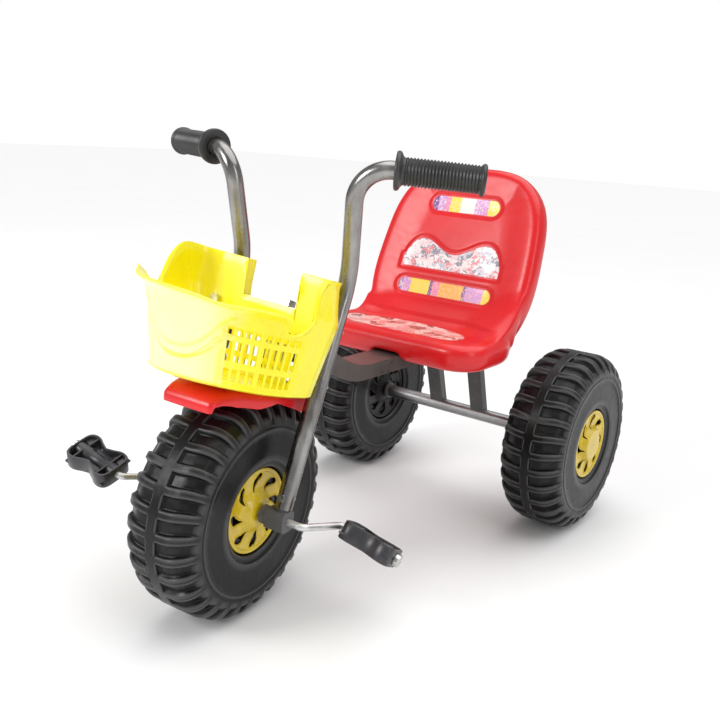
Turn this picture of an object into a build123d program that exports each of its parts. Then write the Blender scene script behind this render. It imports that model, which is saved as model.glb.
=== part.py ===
from build123d import *
from math import cos, pi, radians, sin
import os

# A child's pedal tricycle, in millimetres. It faces -Y, +X is the rider's left and +Z is up.
# The origin lies on the ground, under the middle of the whole tricycle.

# Driving dimensions
WHEEL_R = 125.0
WHEEL_HALF_W = 44.0
WHEELBASE = 490.0
HALF_TRACK = 176.0
REAR_AXLE_Y = 245.6
RAKE = 20.0
TRAIL = 9.0
REST_STEER = 7.0
TUBE_R = 9.5
TUBE_WALL = 1.5
ROD_R = 4.0
AXLE_R = 5.0
RUN_GAP = 0.06
CRANK_LENGTH = 48.0
CRANK_TILT = 10.0
CRANK_OUT_X = 117.0
SPINDLE_DROOP = 13.0

# The steered front wheel leans a little, so its axle stands this much higher to touch the ground.
CAMBER_LIFT = 0.77
FRONT_AXLE = Vector(0, REAR_AXLE_Y - WHEELBASE, WHEEL_R + CAMBER_LIFT)
REAR_AXLE = Vector(0, REAR_AXLE_Y, WHEEL_R)

# Wheels
BAR_COUNT = 32
POCKET_DEPTH = 5.0
POCKET_SLOPE = 12.0
TREAD_WALL = 11.0
RIB_HALF_W = 6.0
SHOULDER_R = 24.0
TYRE_WALL = 3.0
BORE_R = 34.0
RECESS_R = 50.0
RECESS_FLOOR = 32.0
DISC_R = 48.5
HOLE_COUNT = 8
BOSS_R = 11.0
FRONT_BOSS_END = 45.4
REAR_BOSS_END = 47.0

# Fork and handlebar, in fork space: origin at the front axle, steering straight ahead
FOOT_X = 67.9
TUBE_ROUTE = [(67.9, 0, 0), (71.2, 91.2, 252.4), (80.6, 69.3, 370.9), (199.7, 124.1, 369.8)]
TUBE_BENDS = [90.0, 37.0]
GRIP_LENGTH = 92.0
GRIP_R = 14.5
GRIP_FLANGE_R = 20.0
TUBE_END_GAP = 4.0
FOOT_END_X = 78.0
FOOT_BORE_X = 46.0
SPIGOT_LENGTH = 30.0
FOOT_BOLT = 24.0

# Steering, measured along its axis from the front axle's height
LOWER_PLATE = 137.0
UPPER_PLATE = 215.0
PLATE_T = 4.0
HEAD_R = 14.0
HEAD_BORE = 11.5
BUSH_FLANGE = 2.0

# Basket, in basket space: X across, Y rearwards, Z up along its back wall
BASKET_LEAN = 14.0
BASKET_Y = 19.0
BASKET_FLOOR = 133.0
BASKET_RIM = 216.0
EAR_TOP = 258.0
BASKET_BACK = -22.0
BASKET_WALL = 2.6
BASKET_FRONT = -148.0
FRONT_FLARE = 0.30
SIDE_FLARE = 0.18
EAR_DRAW = 0.35
BASKET_HALF_W = 85.0
BACK_CORNER_R = 24.0
EAR_INNER_X = 37.0
GAP_SILL = 219.0
RIM_CORNER_Y = -119.0
LIP_OUT = 10.0
LIP_H = 9.0
BASKET_BOLT_Z = (146.0, 208.0)
BOLT_R = 2.5

# Pedals
PEDAL_IN = 6.0
PEDAL_L = 64.0
PEDAL_HALF_D = 23.0
PEDAL_TILT_LEFT = -28.0
PEDAL_TILT_RIGHT = 18.0
PEDAL_HALF_T = 10.0

# Backbone, stays and seat
SPINE_HALF_W = 22.0
SPINE_T = 2.0
SPINE_TOP = 248.0
SPINE_DEPTH = 19.0
STAY_X = 36.0
SEAT_UNDER = 241.0
SEAT_RECESS = 251.2
SEAT_TOP = 277.0
SEAT_FRONT = 33.0
SEAT_HALF_W = 131.0
BACK_LEAN = 20.7
BACK_THICK = 36.0
SEAT_SKIN = 3.0


def steered(shape):
    """Turns a fork part, drawn in fork space, to the rest angle of the steering."""
    pivot = FRONT_AXLE + Vector(0, TRAIL, 0)
    axis = Axis(pivot, (0, sin(radians(RAKE)), cos(radians(RAKE))))
    return (Pos(*FRONT_AXLE) * shape).rotate(axis, REST_STEER)


def raked(shape):
    """Moves a part drawn in steering space to fork space."""
    return Pos(0, TRAIL, 0) * Rot(-RAKE, 0, 0) * shape


def leaned(shape):
    """Moves a basket part drawn in basket space to fork space."""
    return Pos(0, BASKET_Y, 0) * Rot(-BASKET_LEAN, 0, 0) * shape


def along_x(radius, x0, x1):
    """A round bar along X, from x0 to x1."""
    return Pos((x0 + x1) / 2, 0, 0) * Rot(0, 90, 0) * Cylinder(radius, abs(x1 - x0))


def block(x0, x1, y0, y1, z0, z1):
    """A box between two corners."""
    return Pos((x0 + x1) / 2, (y0 + y1) / 2, (z0 + z1) / 2) * Box(x1 - x0, y1 - y0, z1 - z0)


def hexagon(radius, height):
    """A hexagonal prism standing on its centre, radius measured to the corners."""
    return extrude(RegularPolygon(radius, 6), height / 2, both=True)


def upright(radius, z0, z1):
    """A round bar along Z, from z0 to z1."""
    return Pos(0, 0, (z0 + z1) / 2) * Cylinder(radius, z1 - z0)


# Wheels, drawn about the origin with the axle along X


def half_section(points, fillet_at=(), fillet_r=1.0):
    """A closed section in the XZ plane, through points of (axial place, radius)."""
    face = make_face(Polyline(*[(x, 0, r) for x, r in points], close=True))
    corners = [v for v in face.vertices() if any(abs(v.X - x) + abs(v.Z - r) < 0.01 for x, r in fillet_at)]
    return fillet(corners, fillet_r) if corners else face


def tyre_outline(inset, tread_inset):
    """The tyre's section: a flat tread, round shoulders and a stepped bore."""
    side = WHEEL_HALF_W - inset
    floor = RECESS_FLOOR - inset
    tread = WHEEL_R - tread_inset
    recess = RECESS_R + inset
    bore = BORE_R + inset
    corners = [(-side, tread), (side, tread)]
    points = [(-floor, bore), (-floor, recess), (-side, recess)] + corners
    points += [(side, recess), (floor, recess), (floor, bore)]
    return half_section(points, corners, SHOULDER_R - inset)


def tread_pockets():
    """The recesses between the tread bars, on both sides of the middle rib."""
    pitch = 360.0 / BAR_COUNT
    width = 2 * pi * WHEEL_R / BAR_COUNT * 0.52
    reach = 2 * WHEEL_HALF_W
    depth = 2 * POCKET_DEPTH
    cutter = Pos(reach / 2, 0, depth / 2) * Box(reach, width, depth)
    cutter = Pos(RIB_HALF_W, 0, WHEEL_R - POCKET_DEPTH) * Rot(0, POCKET_SLOPE, 0) * cutter
    pockets = []
    for index in range(BAR_COUNT):
        turned = Rot(index * pitch, 0, 0) * cutter
        pockets.append(turned)
        pockets.append(turned.mirror(Plane.YZ))
    return pockets


def tyre():
    """One hollow blow-moulded tyre."""
    outer = revolve(tyre_outline(0, 0), Axis.X)
    outer = outer - tread_pockets()
    vent = Pos(0, 0, BORE_R) * Cylinder(1.5, 4 * TYRE_WALL)
    return outer - revolve(tyre_outline(TYRE_WALL, TREAD_WALL), Axis.X) - vent


def hub_disc(points, bore):
    """A hub disc turned from its section, with its ring of holes and its axle bore."""
    disc = revolve(half_section(points), Axis.X)
    cutter = Pos(RECESS_FLOOR, 0, 0) * Rot(0, 90, 0) * extrude(hub_hole(), 12, both=True)
    for index in range(HOLE_COUNT):
        disc = disc - Rot(index * 360.0 / HOLE_COUNT, 0, 0) * cutter
    return disc - along_x(bore, -60, 60)


def hub_hole():
    """A slanted hole, round at the rim and narrow towards the boss."""
    outer = Pos(-37.5, 4.0) * Circle(4.6)
    inner = Pos(-26.5, -2.0) * Circle(1.6)
    return make_hull((outer + inner).edges())


def front_hub():
    """The front hub half: a disc, a coned boss and a sleeve that reaches the middle."""
    face = RECESS_FLOOR + 3.0
    points = [(0.3, 0), (0.3, 9.0), (RECESS_FLOOR - 6, 9.0), (RECESS_FLOOR, 22.0)]
    points += [(RECESS_FLOOR, DISC_R), (face + 1.5, DISC_R), (face, DISC_R - 4)]
    points += [(face, 21.0), (face + 4, 15.0), (FRONT_BOSS_END, BOSS_R), (FRONT_BOSS_END, 0)]
    hub = hub_disc(points, ROD_R)
    slot = block(26.0, 31.0, -2.05, 2.05, -9.0, 9.0)
    return hub - slot


def rear_hub_outer():
    """The outer rear hub half: the same disc with a closed raised cap."""
    face = RECESS_FLOOR + 6.0
    points = [(0.3, 0), (0.3, 9.5), (RECESS_FLOOR - 6, 9.5), (RECESS_FLOOR, 22.0)]
    points += [(RECESS_FLOOR, DISC_R), (face + 2.5, DISC_R), (face, DISC_R - 4)]
    points += [(face, 24.0), (REAR_BOSS_END - 1.5, 20.0), (REAR_BOSS_END, 17.0), (REAR_BOSS_END, 0)]
    hub = revolve(half_section(points), Axis.X)
    cutter = Pos(RECESS_FLOOR, 0, 0) * Rot(0, 90, 0) * extrude(hub_hole(), 16, both=True)
    for index in range(HOLE_COUNT):
        hub = hub - Rot(index * 360.0 / HOLE_COUNT, 0, 0) * cutter
    hub = hub - along_x(AXLE_R + RUN_GAP, -1, 30)
    return hub - along_x(12.0, 29.0, REAR_BOSS_END - 2.5)


def rear_hub_inner():
    """The inner rear hub half, drawn facing +X, with an open boss."""
    face = RECESS_FLOOR + 3.0
    points = [(0.3, 0), (0.3, 9.5), (RECESS_FLOOR - 6, 9.5), (RECESS_FLOOR, 22.0)]
    points += [(RECESS_FLOOR, DISC_R), (face + 1.5, DISC_R), (face, DISC_R - 4)]
    points += [(face, 21.0), (face + 4, 15.0), (WHEEL_HALF_W, BOSS_R), (WHEEL_HALF_W, 0)]
    return hub_disc(points, AXLE_R + RUN_GAP)


# Front wheel set, in fork space


def crank_corner(side):
    """Where a pedal spindle leaves its crank arm; side is +1 on the rider's left."""
    angle = radians(CRANK_TILT)
    return Vector(side * CRANK_OUT_X, side * CRANK_LENGTH * cos(angle), -side * CRANK_LENGTH * sin(angle))


def on_spindle(shape, side):
    """Moves a pedal part, drawn along X with the crank corner at the origin, to its spindle."""
    return Pos(*crank_corner(side)) * Rot(0, SPINDLE_DROOP, 0) * shape


def crank_axle():
    """The front axle: one rod, bent into two crank arms and two pedal spindles."""
    droop = radians(SPINDLE_DROOP)
    spindle = Vector(cos(droop), 0, -sin(droop)) * (PEDAL_IN + PEDAL_L + 3.5)
    arm_in = Vector(96, 0, 0)
    left = crank_corner(1)
    right = crank_corner(-1)
    route = [left + spindle, left, arm_in, -arm_in, right, right - spindle]
    path = FilletPolyline(*[tuple(place) for place in route], radius=9.0)
    rod = sweep(Plane(origin=path @ 0, z_dir=path % 0) * Circle(ROD_R), path=path)
    for side in (1, -1):
        rod = rod - Pos(side * 28.5, 0, 0) * Cylinder(2.0, 40)
    return rod


def drive_pins():
    """Two cross pins through the axle; each sits in a slot of its hub and drives it."""
    return [Pos(side * 28.5, 0, 0) * Cylinder(2.0, 17.0) for side in (1, -1)]


def pedal(side):
    """A waisted pedal block that turns on its spindle."""
    half = PEDAL_L / 2
    deep = PEDAL_HALF_D
    edge = FilletPolyline(
        (-half, -deep), (-half * 0.5, -deep), (0, -deep + 9), (half * 0.5, -deep), (half, -deep),
        (half, deep), (half * 0.5, deep), (0, deep - 9), (-half * 0.5, deep), (-half, deep),
        radius=6.0, close=True,
    )
    body = extrude(make_face(edge), PEDAL_HALF_T, both=True)
    rims = [e for e in body.edges() if abs(abs(e.center().Z) - PEDAL_HALF_T) < 0.01]
    body = fillet(rims, 2.5)
    for place in (-20.0, 20.0):
        for row in (-1, 1):
            body = body - Pos(place, row * 12.5, -6.0) * Box(18, 8, 14)
    body = body - along_x(ROD_R + RUN_GAP, -half - 1, half + 1)
    tilt = PEDAL_TILT_LEFT if side > 0 else PEDAL_TILT_RIGHT
    return on_spindle(Pos(side * (PEDAL_IN + half), 0, 0) * Rot(tilt, 0, 0) * body, side)


def pedal_cap(side):
    """The push-on cap that keeps a pedal on its spindle."""
    start = PEDAL_IN + PEDAL_L + 0.4
    cap = along_x(7.0, start, start + 5.0) - along_x(ROD_R, start - 1, start + 3.1)
    return on_spindle(facing(cap, side), side)


# Fork, in fork space


def tube_path(side):
    """The centre line of one fork tube, up to the end of its grip."""
    return FilletPolyline(*[(side * x, y, z) for x, y, z in TUBE_ROUTE], radius=TUBE_BENDS)


def foot_direction(side):
    """The direction of a fork tube where it leaves its foot."""
    start = Vector(side * TUBE_ROUTE[0][0], *TUBE_ROUTE[0][1:])
    end = Vector(side * TUBE_ROUTE[1][0], *TUBE_ROUTE[1][1:])
    return start, (end - start).normalized()


def foot_plane(side, distance):
    """A plane across a fork tube, a distance up from the axle."""
    start, direction = foot_direction(side)
    return Plane(origin=start + direction * distance, z_dir=direction, x_dir=(1, 0, 0))


def grip_plane(side, distance):
    """A plane across the handlebar, a distance in from the end of the grip."""
    start = Vector(side * TUBE_ROUTE[3][0], *TUBE_ROUTE[3][1:])
    toward = Vector(side * TUBE_ROUTE[2][0], *TUBE_ROUTE[2][1:])
    direction = (toward - start).normalized()
    return Plane(origin=start + direction * distance, z_dir=direction)


def swept_tube(side, radius):
    """A round solid along a fork tube's whole path."""
    path = tube_path(side)
    return sweep(Plane(origin=path @ 0, z_dir=path % 0) * Circle(radius), path=path)


def fork_tube(side):
    """One bent steel tube that is fork leg and handlebar half in one piece."""
    tube = swept_tube(side, TUBE_R) - swept_tube(side, TUBE_R - TUBE_WALL)
    tube = tube - foot_plane(side, 0) * Cylinder(30, 24)
    tube = tube - grip_plane(side, 0) * Cylinder(16, 2 * TUBE_END_GAP)
    for height in BASKET_BOLT_Z:
        tube = tube - basket_bolt_bar(side, height, BOLT_R)
    return tube - foot_bolt_bar(side, BOLT_R)


def foot_bolt_bar(side, radius):
    """The line of the bolt that pins a tube to its foot."""
    return foot_plane(side, FOOT_BOLT).location * Rot(90, 0, 0) * Cylinder(radius, 40)


def axle_foot(side):
    """The moulded bearing block under a fork tube, with a spigot inside the tube."""
    middle = (FOOT_BORE_X + FOOT_END_X) / 2
    body = block(54, FOOT_END_X, -10.5, 10.5, -11.0, 11.4)
    body = fillet(body.edges().filter_by(Axis.X), 5.0)
    body = body + along_x(10.5, FOOT_BORE_X, middle)
    body = body if side > 0 else body.mirror(Plane.YZ)
    spigot = foot_plane(side, 9.0 + SPIGOT_LENGTH / 2) * Cylinder(TUBE_R - TUBE_WALL, SPIGOT_LENGTH)
    body = body + spigot
    body = body - (foot_plane(side, 12.0 + 20) * Cylinder(30, 40) - foot_plane(side, 32) * Cylinder(8, 42))
    return body - along_x(ROD_R + RUN_GAP, -100, 100) - foot_bolt_bar(side, BOLT_R)


def foot_bolt(side):
    """The bolt through a fork tube and its foot, with a hexagonal head in front."""
    bolt = upright(BOLT_R, -14.0, 9.8) + Pos(0, 0, 11.3) * hexagon(4.6, 3.2)
    return foot_plane(side, FOOT_BOLT).location * Rot(90, 0, 0) * bolt


def foot_nut(side):
    """The nut behind the fork tube on the foot bolt."""
    nut = Pos(0, 0, -11.3) * (hexagon(4.6, 3.0) - Cylinder(BOLT_R, 6))
    return foot_plane(side, FOOT_BOLT).location * Rot(90, 0, 0) * nut


def grip(side):
    """A rubber grip: a ribbed sleeve with a wide inner flange and a closed end."""
    ribs = 19
    pitch = (GRIP_LENGTH - 16.0) / ribs
    points = [(0, 0), (0, 16.5), (3.0, 16.5), (4.0, GRIP_R)]
    for index in range(ribs):
        start = 6.0 + index * pitch
        points += [(start, GRIP_R), (start + 0.8, GRIP_R - 1.0), (start + 1.8, GRIP_R - 1.0), (start + 2.6, GRIP_R)]
    points += [(GRIP_LENGTH - 8, GRIP_R), (GRIP_LENGTH - 5, GRIP_FLANGE_R)]
    points += [(GRIP_LENGTH, GRIP_FLANGE_R), (GRIP_LENGTH, TUBE_R), (TUBE_END_GAP, TUBE_R), (TUBE_END_GAP, 0)]
    section = make_face(Polyline(*[(r, 0, z) for z, r in points], close=True))
    return grip_plane(side, 0).location * revolve(section, Axis.Z)


def crown_plate(level):
    """A flat bar across the fork tubes, pierced for the steering bolt."""
    plate = block(-64, 64, -21, 13, level, level + PLATE_T)
    plate = chamfer(plate.edges().filter_by(Axis.Z), 6)
    plate = raked(plate - upright(AXLE_R, level - 1, level + PLATE_T + 1))
    for side in (1, -1):
        plate = plate - swept_tube(side, TUBE_R)
    return plate


def steering_bolt():
    """The bolt that the whole fork turns with, head at the bottom."""
    low = LOWER_PLATE - 1.6
    high = UPPER_PLATE + PLATE_T + 9.5
    head = Pos(0, 0, low - 2.5) * hexagon(8.2, 5.0)
    return raked(upright(AXLE_R, low - 0.1, high) + head)


def steering_washers():
    """The washers above and below the crown plates."""
    levels = (LOWER_PLATE - 1.6, UPPER_PLATE + PLATE_T)
    return [raked(upright(9.5, z, z + 1.6) - upright(AXLE_R, z - 1, z + 3)) for z in levels]


def steering_nut():
    """The lock nut on top of the steering bolt."""
    level = UPPER_PLATE + PLATE_T + 1.6
    nut = Pos(0, 0, level + 3.5) * hexagon(8.2, 7.0) - upright(AXLE_R, level - 1, level + 9)
    return raked(nut)


# Basket, drawn in steering space


def basket_plan(level, inset):
    """The basket's plan at a level: square at the back, round at the front, wider higher up."""
    rise = level - BASKET_FLOOR
    above_rim = max(level - BASKET_RIM, 0)
    half = BASKET_HALF_W + rise * SIDE_FLARE - above_rim * EAR_DRAW - inset
    front = BASKET_FRONT - rise * FRONT_FLARE + inset
    back = BASKET_BACK - inset
    bow = [(0.97, 0.56), (0.81, 0.76), (0.44, 0.93)]
    left = [(half, back), (half, front * 0.36)] + [(half * x, front * y) for x, y in bow]
    right = [(-x, y) for x, y in reversed(left)]
    outline = Spline(*left, (0, front), *right)
    face = make_face([outline, Line(outline @ 1, outline @ 0)])
    return Pos(0, 0, level) * fillet(face.vertices(), BACK_CORNER_R - inset)


def basket_shell():
    """The open tapered shell of the basket, before its rim is cut."""
    floor = BASKET_FLOOR + BASKET_WALL
    outer = loft([basket_plan(BASKET_FLOOR, 0), basket_plan(BASKET_RIM, 0)])
    outer = outer + loft([basket_plan(BASKET_RIM, 0), basket_plan(EAR_TOP, 0)])
    inner = loft([basket_plan(floor, BASKET_WALL), basket_plan(BASKET_RIM, BASKET_WALL)])
    inner = inner + loft([basket_plan(BASKET_RIM, BASKET_WALL), basket_plan(EAR_TOP + 5, BASKET_WALL)])
    return outer - inner


def rim_cutter():
    """Everything above the rim: low in front, a notch at each side, high ears at the back."""
    profile = Polyline(
        (-260, BASKET_RIM), (RIM_CORNER_Y, BASKET_RIM), (RIM_CORNER_Y + 6, BASKET_RIM - 18),
        (RIM_CORNER_Y + 20, BASKET_RIM - 17), (RIM_CORNER_Y + 33, BASKET_RIM), (-81, EAR_TOP - 20),
        (-74, EAR_TOP - 8), (-62, EAR_TOP), (-62, EAR_TOP + 10), (-260, EAR_TOP + 10), close=True,
    )
    return extrude(Plane.YZ * make_face(profile), 200, both=True)


def basket_lip():
    """The flared lip round the front of the rim."""
    low = BASKET_RIM - LIP_H
    outside = loft([basket_plan(low, -0.2), basket_plan(BASKET_RIM, -LIP_OUT)])
    inside = loft([basket_plan(low, BASKET_WALL), basket_plan(BASKET_RIM, BASKET_WALL - LIP_OUT)])
    return (outside - inside) & block(-160, 160, -260, RIM_CORNER_Y, low, BASKET_RIM)


def basket_slots():
    """The ventilation slots through both side walls."""
    rows = ((139, 151), (157, 173), (179, 188))
    slots = []
    for low, high in rows:
        for column in range(7):
            y = -105.0 + column * 12.0
            slots.append(block(-160, 160, y, y + 5.0, low, high))
    return slots


def basket():
    """The moulded basket with its two raised ears."""
    shell = basket_shell() - rim_cutter()
    shell = shell - block(-EAR_INNER_X, EAR_INNER_X, -60, 10, GAP_SILL, EAR_TOP + 10)
    shell = shell + basket_lip()
    shell = shell - basket_slots()
    for side in (1, -1):
        x0, x1 = sorted((side * EAR_INNER_X, side * (EAR_INNER_X + BASKET_WALL)))
        shell = shell + block(x0, x1, BASKET_BACK - BASKET_WALL, BASKET_BACK + 16, GAP_SILL, EAR_TOP)
    body = leaned(shell)
    for side in (1, -1):
        for level in BASKET_BOLT_Z:
            reach = basket_bolt_reach(side, level)
            body = body + basket_bolt_frame(side, level) * upright(7.5, 8.0, reach)
            body = body - basket_bolt_bar(side, level, BOLT_R)
        body = body - swept_tube(side, TUBE_R + 0.1)
    return body


def basket_bolt_place(side, level):
    """The middle of a fork tube at a level above the axle, measured along the steering axis."""
    start, direction = foot_direction(side)
    axis = Vector(0, sin(radians(RAKE)), cos(radians(RAKE)))
    offset = start - Vector(0, TRAIL, 0)
    return start + direction * ((level - offset.dot(axis)) / direction.dot(axis))


def basket_bolt_reach(side, level):
    """How far in front of the tube's middle the head of a basket bolt sits."""
    place = basket_bolt_place(side, level) - Vector(0, BASKET_Y, 0)
    lean = radians(BASKET_LEAN)
    depth = place.Y * cos(lean) - place.Z * sin(lean)
    return (depth - BASKET_BACK + BASKET_WALL) / cos(radians(RAKE - BASKET_LEAN)) + 3.5


def basket_bolt_frame(side, level):
    """The location of a basket bolt: Z points forward, out of the basket's wall."""
    return Pos(*basket_bolt_place(side, level)) * Rot(-RAKE, 0, 0) * Rot(90, 0, 0)


def basket_bolt_bar(side, level, radius):
    """The line of a bolt that holds the basket to a fork tube."""
    return basket_bolt_frame(side, level) * Cylinder(radius, 90)


def basket_bolt(side, level):
    """A bolt from inside the basket, through its back wall and the fork tube."""
    reach = basket_bolt_reach(side, level)
    head = upright(5.5, reach, reach + 3.0)
    return basket_bolt_frame(side, level) * (upright(BOLT_R, -15.5, reach + 0.1) + head)


def basket_nut(side, level):
    """The nut behind the fork tube on a basket bolt."""
    nut = Pos(0, 0, -TUBE_R - 2.2) * (hexagon(4.8, 4.0) - Cylinder(BOLT_R, 8))
    return basket_bolt_frame(side, level) * nut


# Mudguard, in fork space


def fender_profile():
    """The side view: a nose that dips in front, an arch and a tail behind the fork."""
    points = [
        (-82, 133), (-78, 142), (-50, 149), (-12, 140), (28, 128), (80, 114), (114, 104),
        (118, 98), (104, 95), (58, 108), (38, 107), (0, 128), (-40, 130), (-62, 129), (-78, 128),
    ]
    return make_face(Polyline(*[(0, y, z) for y, z in points], close=True))


def fender():
    """The moulded mudguard over the front wheel."""
    slab = extrude(fender_profile(), 52, both=True)
    plan = Polyline(
        (-34, -86), (34, -86), (50, -50), (53, 10), (53, 60), (40, 118),
        (-40, 118), (-53, 60), (-53, 10), (-50, -50), close=True,
    )
    shape = slab & extrude(make_face(plan), 200)
    shape = shape - along_x(WHEEL_R + 5.0, -WHEEL_HALF_W - 3.5, WHEEL_HALF_W + 3.5)
    for side in (1, -1):
        shape = shape - swept_tube(side, TUBE_R + 0.4)
    return shape - raked(upright(10.5, 90, LOWER_PLATE + 1))


# Frame, in row space


def head_tube():
    """The short tube that carries the steering bolt."""
    low = LOWER_PLATE + PLATE_T + 0.4 + BUSH_FLANGE
    high = UPPER_PLATE - 0.4 - BUSH_FLANGE
    return Pos(*FRONT_AXLE) * raked(upright(HEAD_R, low, high) - upright(HEAD_BORE, low - 1, high + 1))


def head_bush(top):
    """A flanged bush in one end of the head tube."""
    level = UPPER_PLATE - 0.4 - BUSH_FLANGE if top else LOWER_PLATE + PLATE_T + 0.4
    flange = upright(HEAD_R, level, level + BUSH_FLANGE)
    sleeve = upright(HEAD_BORE, level - 12, level + 0.1) if top else upright(HEAD_BORE, level + 1.9, level + 14)
    bush = flange + sleeve - upright(AXLE_R + RUN_GAP, level - 20, level + 20)
    return Pos(*FRONT_AXLE) * raked(bush)


def spine_section(inset):
    """The side view of the backbone: steep behind the head, level under the seat."""
    head_y = FRONT_AXLE.Y + 62
    bend_y = FRONT_AXLE.Y + 192
    end_y = REAR_AXLE_Y - 30
    top = SPINE_TOP - inset
    low = SPINE_TOP - SPINE_DEPTH if inset == 0 else SPINE_TOP - SPINE_DEPTH - 5
    upper = FilletPolyline((0, head_y, top + 75), (0, bend_y, top), (0, end_y, top), radius=120)
    lower = FilletPolyline((0, head_y, low + 57), (0, bend_y - 8, low), (0, end_y, low), radius=120)
    front = Line(upper @ 0, lower @ 0)
    back = Line(upper @ 1, lower @ 1)
    return make_face([upper, lower, front, back])


def backbone():
    """The pressed-steel channel from the head tube to under the seat."""
    outer = extrude(spine_section(0), SPINE_HALF_W, both=True)
    inner = extrude(spine_section(SPINE_T), SPINE_HALF_W - SPINE_T, both=True)
    head = Pos(*FRONT_AXLE) * raked(upright(HEAD_R, 60, 280))
    front = Pos(*FRONT_AXLE) * raked(block(-60, 60, -80, 2, 60, 280))
    return outer - inner - head - front


def seat_bracket():
    """The flat plate under the seat that joins the backbone and the stays."""
    y = REAR_AXLE_Y
    plate = block(-54, 54, y - 92, y - 26, SPINE_TOP, SPINE_TOP + 3)
    plate = fillet(plate.edges().filter_by(Axis.Z), 8)
    for x, back in seat_bolt_places():
        plate = plate - Pos(x, back, SPINE_TOP) * Cylinder(3.0, 20)
    return plate


def seat_bolt_places():
    """Where the four seat bolts stand."""
    return [(x, REAR_AXLE_Y + back) for x in (-44, 44) for back in (-82, -58)]


def seat_bolts():
    """The four bolts that hold the seat, heads below the bracket."""
    bolts = []
    for x, y in seat_bolt_places():
        head = Pos(x, y, SPINE_TOP - 2.0) * hexagon(5.5, 4.0)
        bolts.append(Pos(x, y, SPINE_TOP + 3.0) * Cylinder(3.0, 8.0) + head)
    return bolts


def stay(side):
    """One folded strip from the rear axle tube up to the seat bracket."""
    y = REAR_AXLE_Y
    foot = (y, WHEEL_R + 4)
    top = (y - 40, SPINE_TOP)
    width = 13.0
    points = [(0, foot[0] - width / 2, foot[1]), (0, foot[0] + width / 2, foot[1])]
    points += [(0, top[0] + width / 2, top[1]), (0, top[0] - width / 2, top[1])]
    face = make_face(Polyline(*points, close=True))
    strip = Pos(side * STAY_X, 0, 0) * extrude(face, 11, both=True)
    hollow = Pos(side * STAY_X, 3, 0) * extrude(face, 8.5, both=True)
    strip = strip - hollow
    return strip - Pos(0, y, WHEEL_R) * along_x(TUBE_R, -80, 80)


def rear_axle_tube():
    """The cross tube between the rear wheels."""
    half = HALF_TRACK - WHEEL_HALF_W - 3.4
    return Pos(*REAR_AXLE) * (along_x(TUBE_R, -half, half) - along_x(TUBE_R - TUBE_WALL, -half - 1, half + 1))


def axle_plug(side):
    """The flanged plug that centres the axle rod in the end of the tube."""
    end = HALF_TRACK - WHEEL_HALF_W - 3.4
    plug = along_x(TUBE_R - TUBE_WALL, end - 14, end + 0.5) + along_x(12.5, end, end + 3.0)
    plug = plug - along_x(AXLE_R, end - 20, end + 10)
    if side < 0:
        plug = plug.mirror(Plane.YZ)
    return Pos(*REAR_AXLE) * plug


def rear_axle_rod():
    """The fixed rod on which both rear wheels turn."""
    half = HALF_TRACK + REAR_BOSS_END - 6.0
    return Pos(*REAR_AXLE) * along_x(AXLE_R, -half, half)


def axle_nuts():
    """The push nuts that keep the rear wheels on, inside the hub caps."""
    nuts = []
    for side in (1, -1):
        start = HALF_TRACK + 31.5
        ring = along_x(9.5, start, start + 4.5) - along_x(AXLE_R, start - 1, start + 8)
        ring = ring if side > 0 else ring.mirror(Plane.YZ)
        nuts.append(Pos(*REAR_AXLE) * ring)
    return nuts


def back_outline(inset):
    """The backrest's outline, seen square on, with its foot at the origin."""
    side = [
        (112 - inset, 0), (127.5 - inset, 55), (126 - inset, 125),
        (108 - inset, 198), (76 - inset, 228 - inset),
    ]
    other = [(-x, y) for x, y in reversed(side)]
    arch = Spline(*side, (0, 238 - inset), *other)
    foot = Line(other[-1], side[0])
    return make_face([arch, foot])


def backrest(inset):
    """The wide leaning back of the seat, smaller by inset all round."""
    thick = BACK_THICK / 2 - inset
    slab = extrude(back_outline(inset), thick, both=True)
    if inset == 0:
        rims = [e for e in slab.edges() if abs(abs(e.center().Z) - thick) < 0.01 and e.center().Y > 2]
        slab = fillet(rims, 13)
    return Pos(0, REAR_AXLE_Y - 82, SEAT_UNDER + 22) * Rot(90 - BACK_LEAN, 0, 0) * slab


def pan(inset):
    """The seat pan, smaller by inset all round; its hollow stays above the recess."""
    low = SEAT_UNDER if inset == 0 else SEAT_RECESS + inset
    width = 2 * (SEAT_HALF_W - inset)
    front = SEAT_FRONT + inset
    back = REAR_AXLE_Y - 46 - inset
    plan = Pos(0, (front + back) / 2) * Rectangle(width, back - front)
    plan = fillet(plan.vertices().group_by(Axis.Y)[0], 46 - inset)
    plan = fillet(plan.vertices().group_by(Axis.Y)[-1], 86 - inset)
    slab = Pos(0, 0, low) * extrude(plan, SEAT_TOP - inset - low)
    if inset == 0:
        slab = fillet(slab.edges().group_by(Axis.Z)[0] + slab.edges().group_by(Axis.Z)[-1], 13)
    return slab


def seat():
    """The hollow blow-moulded seat, recessed below for the backbone and its bracket."""
    body = pan(0) + backrest(0)
    body = body - (pan(SEAT_SKIN) + backrest(SEAT_SKIN))
    body = body - block(-23.0, 23.0, SEAT_FRONT - 10, REAR_AXLE_Y, SEAT_UNDER - 10, SEAT_RECESS)
    body = body - block(-58, 58, REAR_AXLE_Y - 96, REAR_AXLE_Y, SEAT_UNDER - 10, SEAT_RECESS)
    for x, y in seat_bolt_places():
        body = body - Pos(x, y, SPINE_TOP + 3.0) * Cylinder(3.0, 8.0)
    return body


def rear_corner(side, facing_side):
    """Moves a wheel part, drawn facing +X, to a rear corner, facing left (1) or right (-1)."""
    turn = Rot(0, 0, 90 - 90 * facing_side)
    return Pos(side * HALF_TRACK, REAR_AXLE_Y, WHEEL_R) * turn


def facing(shape, side):
    """The shape, or its mirror image for the rider's right."""
    return shape if side > 0 else shape.mirror(Plane.YZ)


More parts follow.
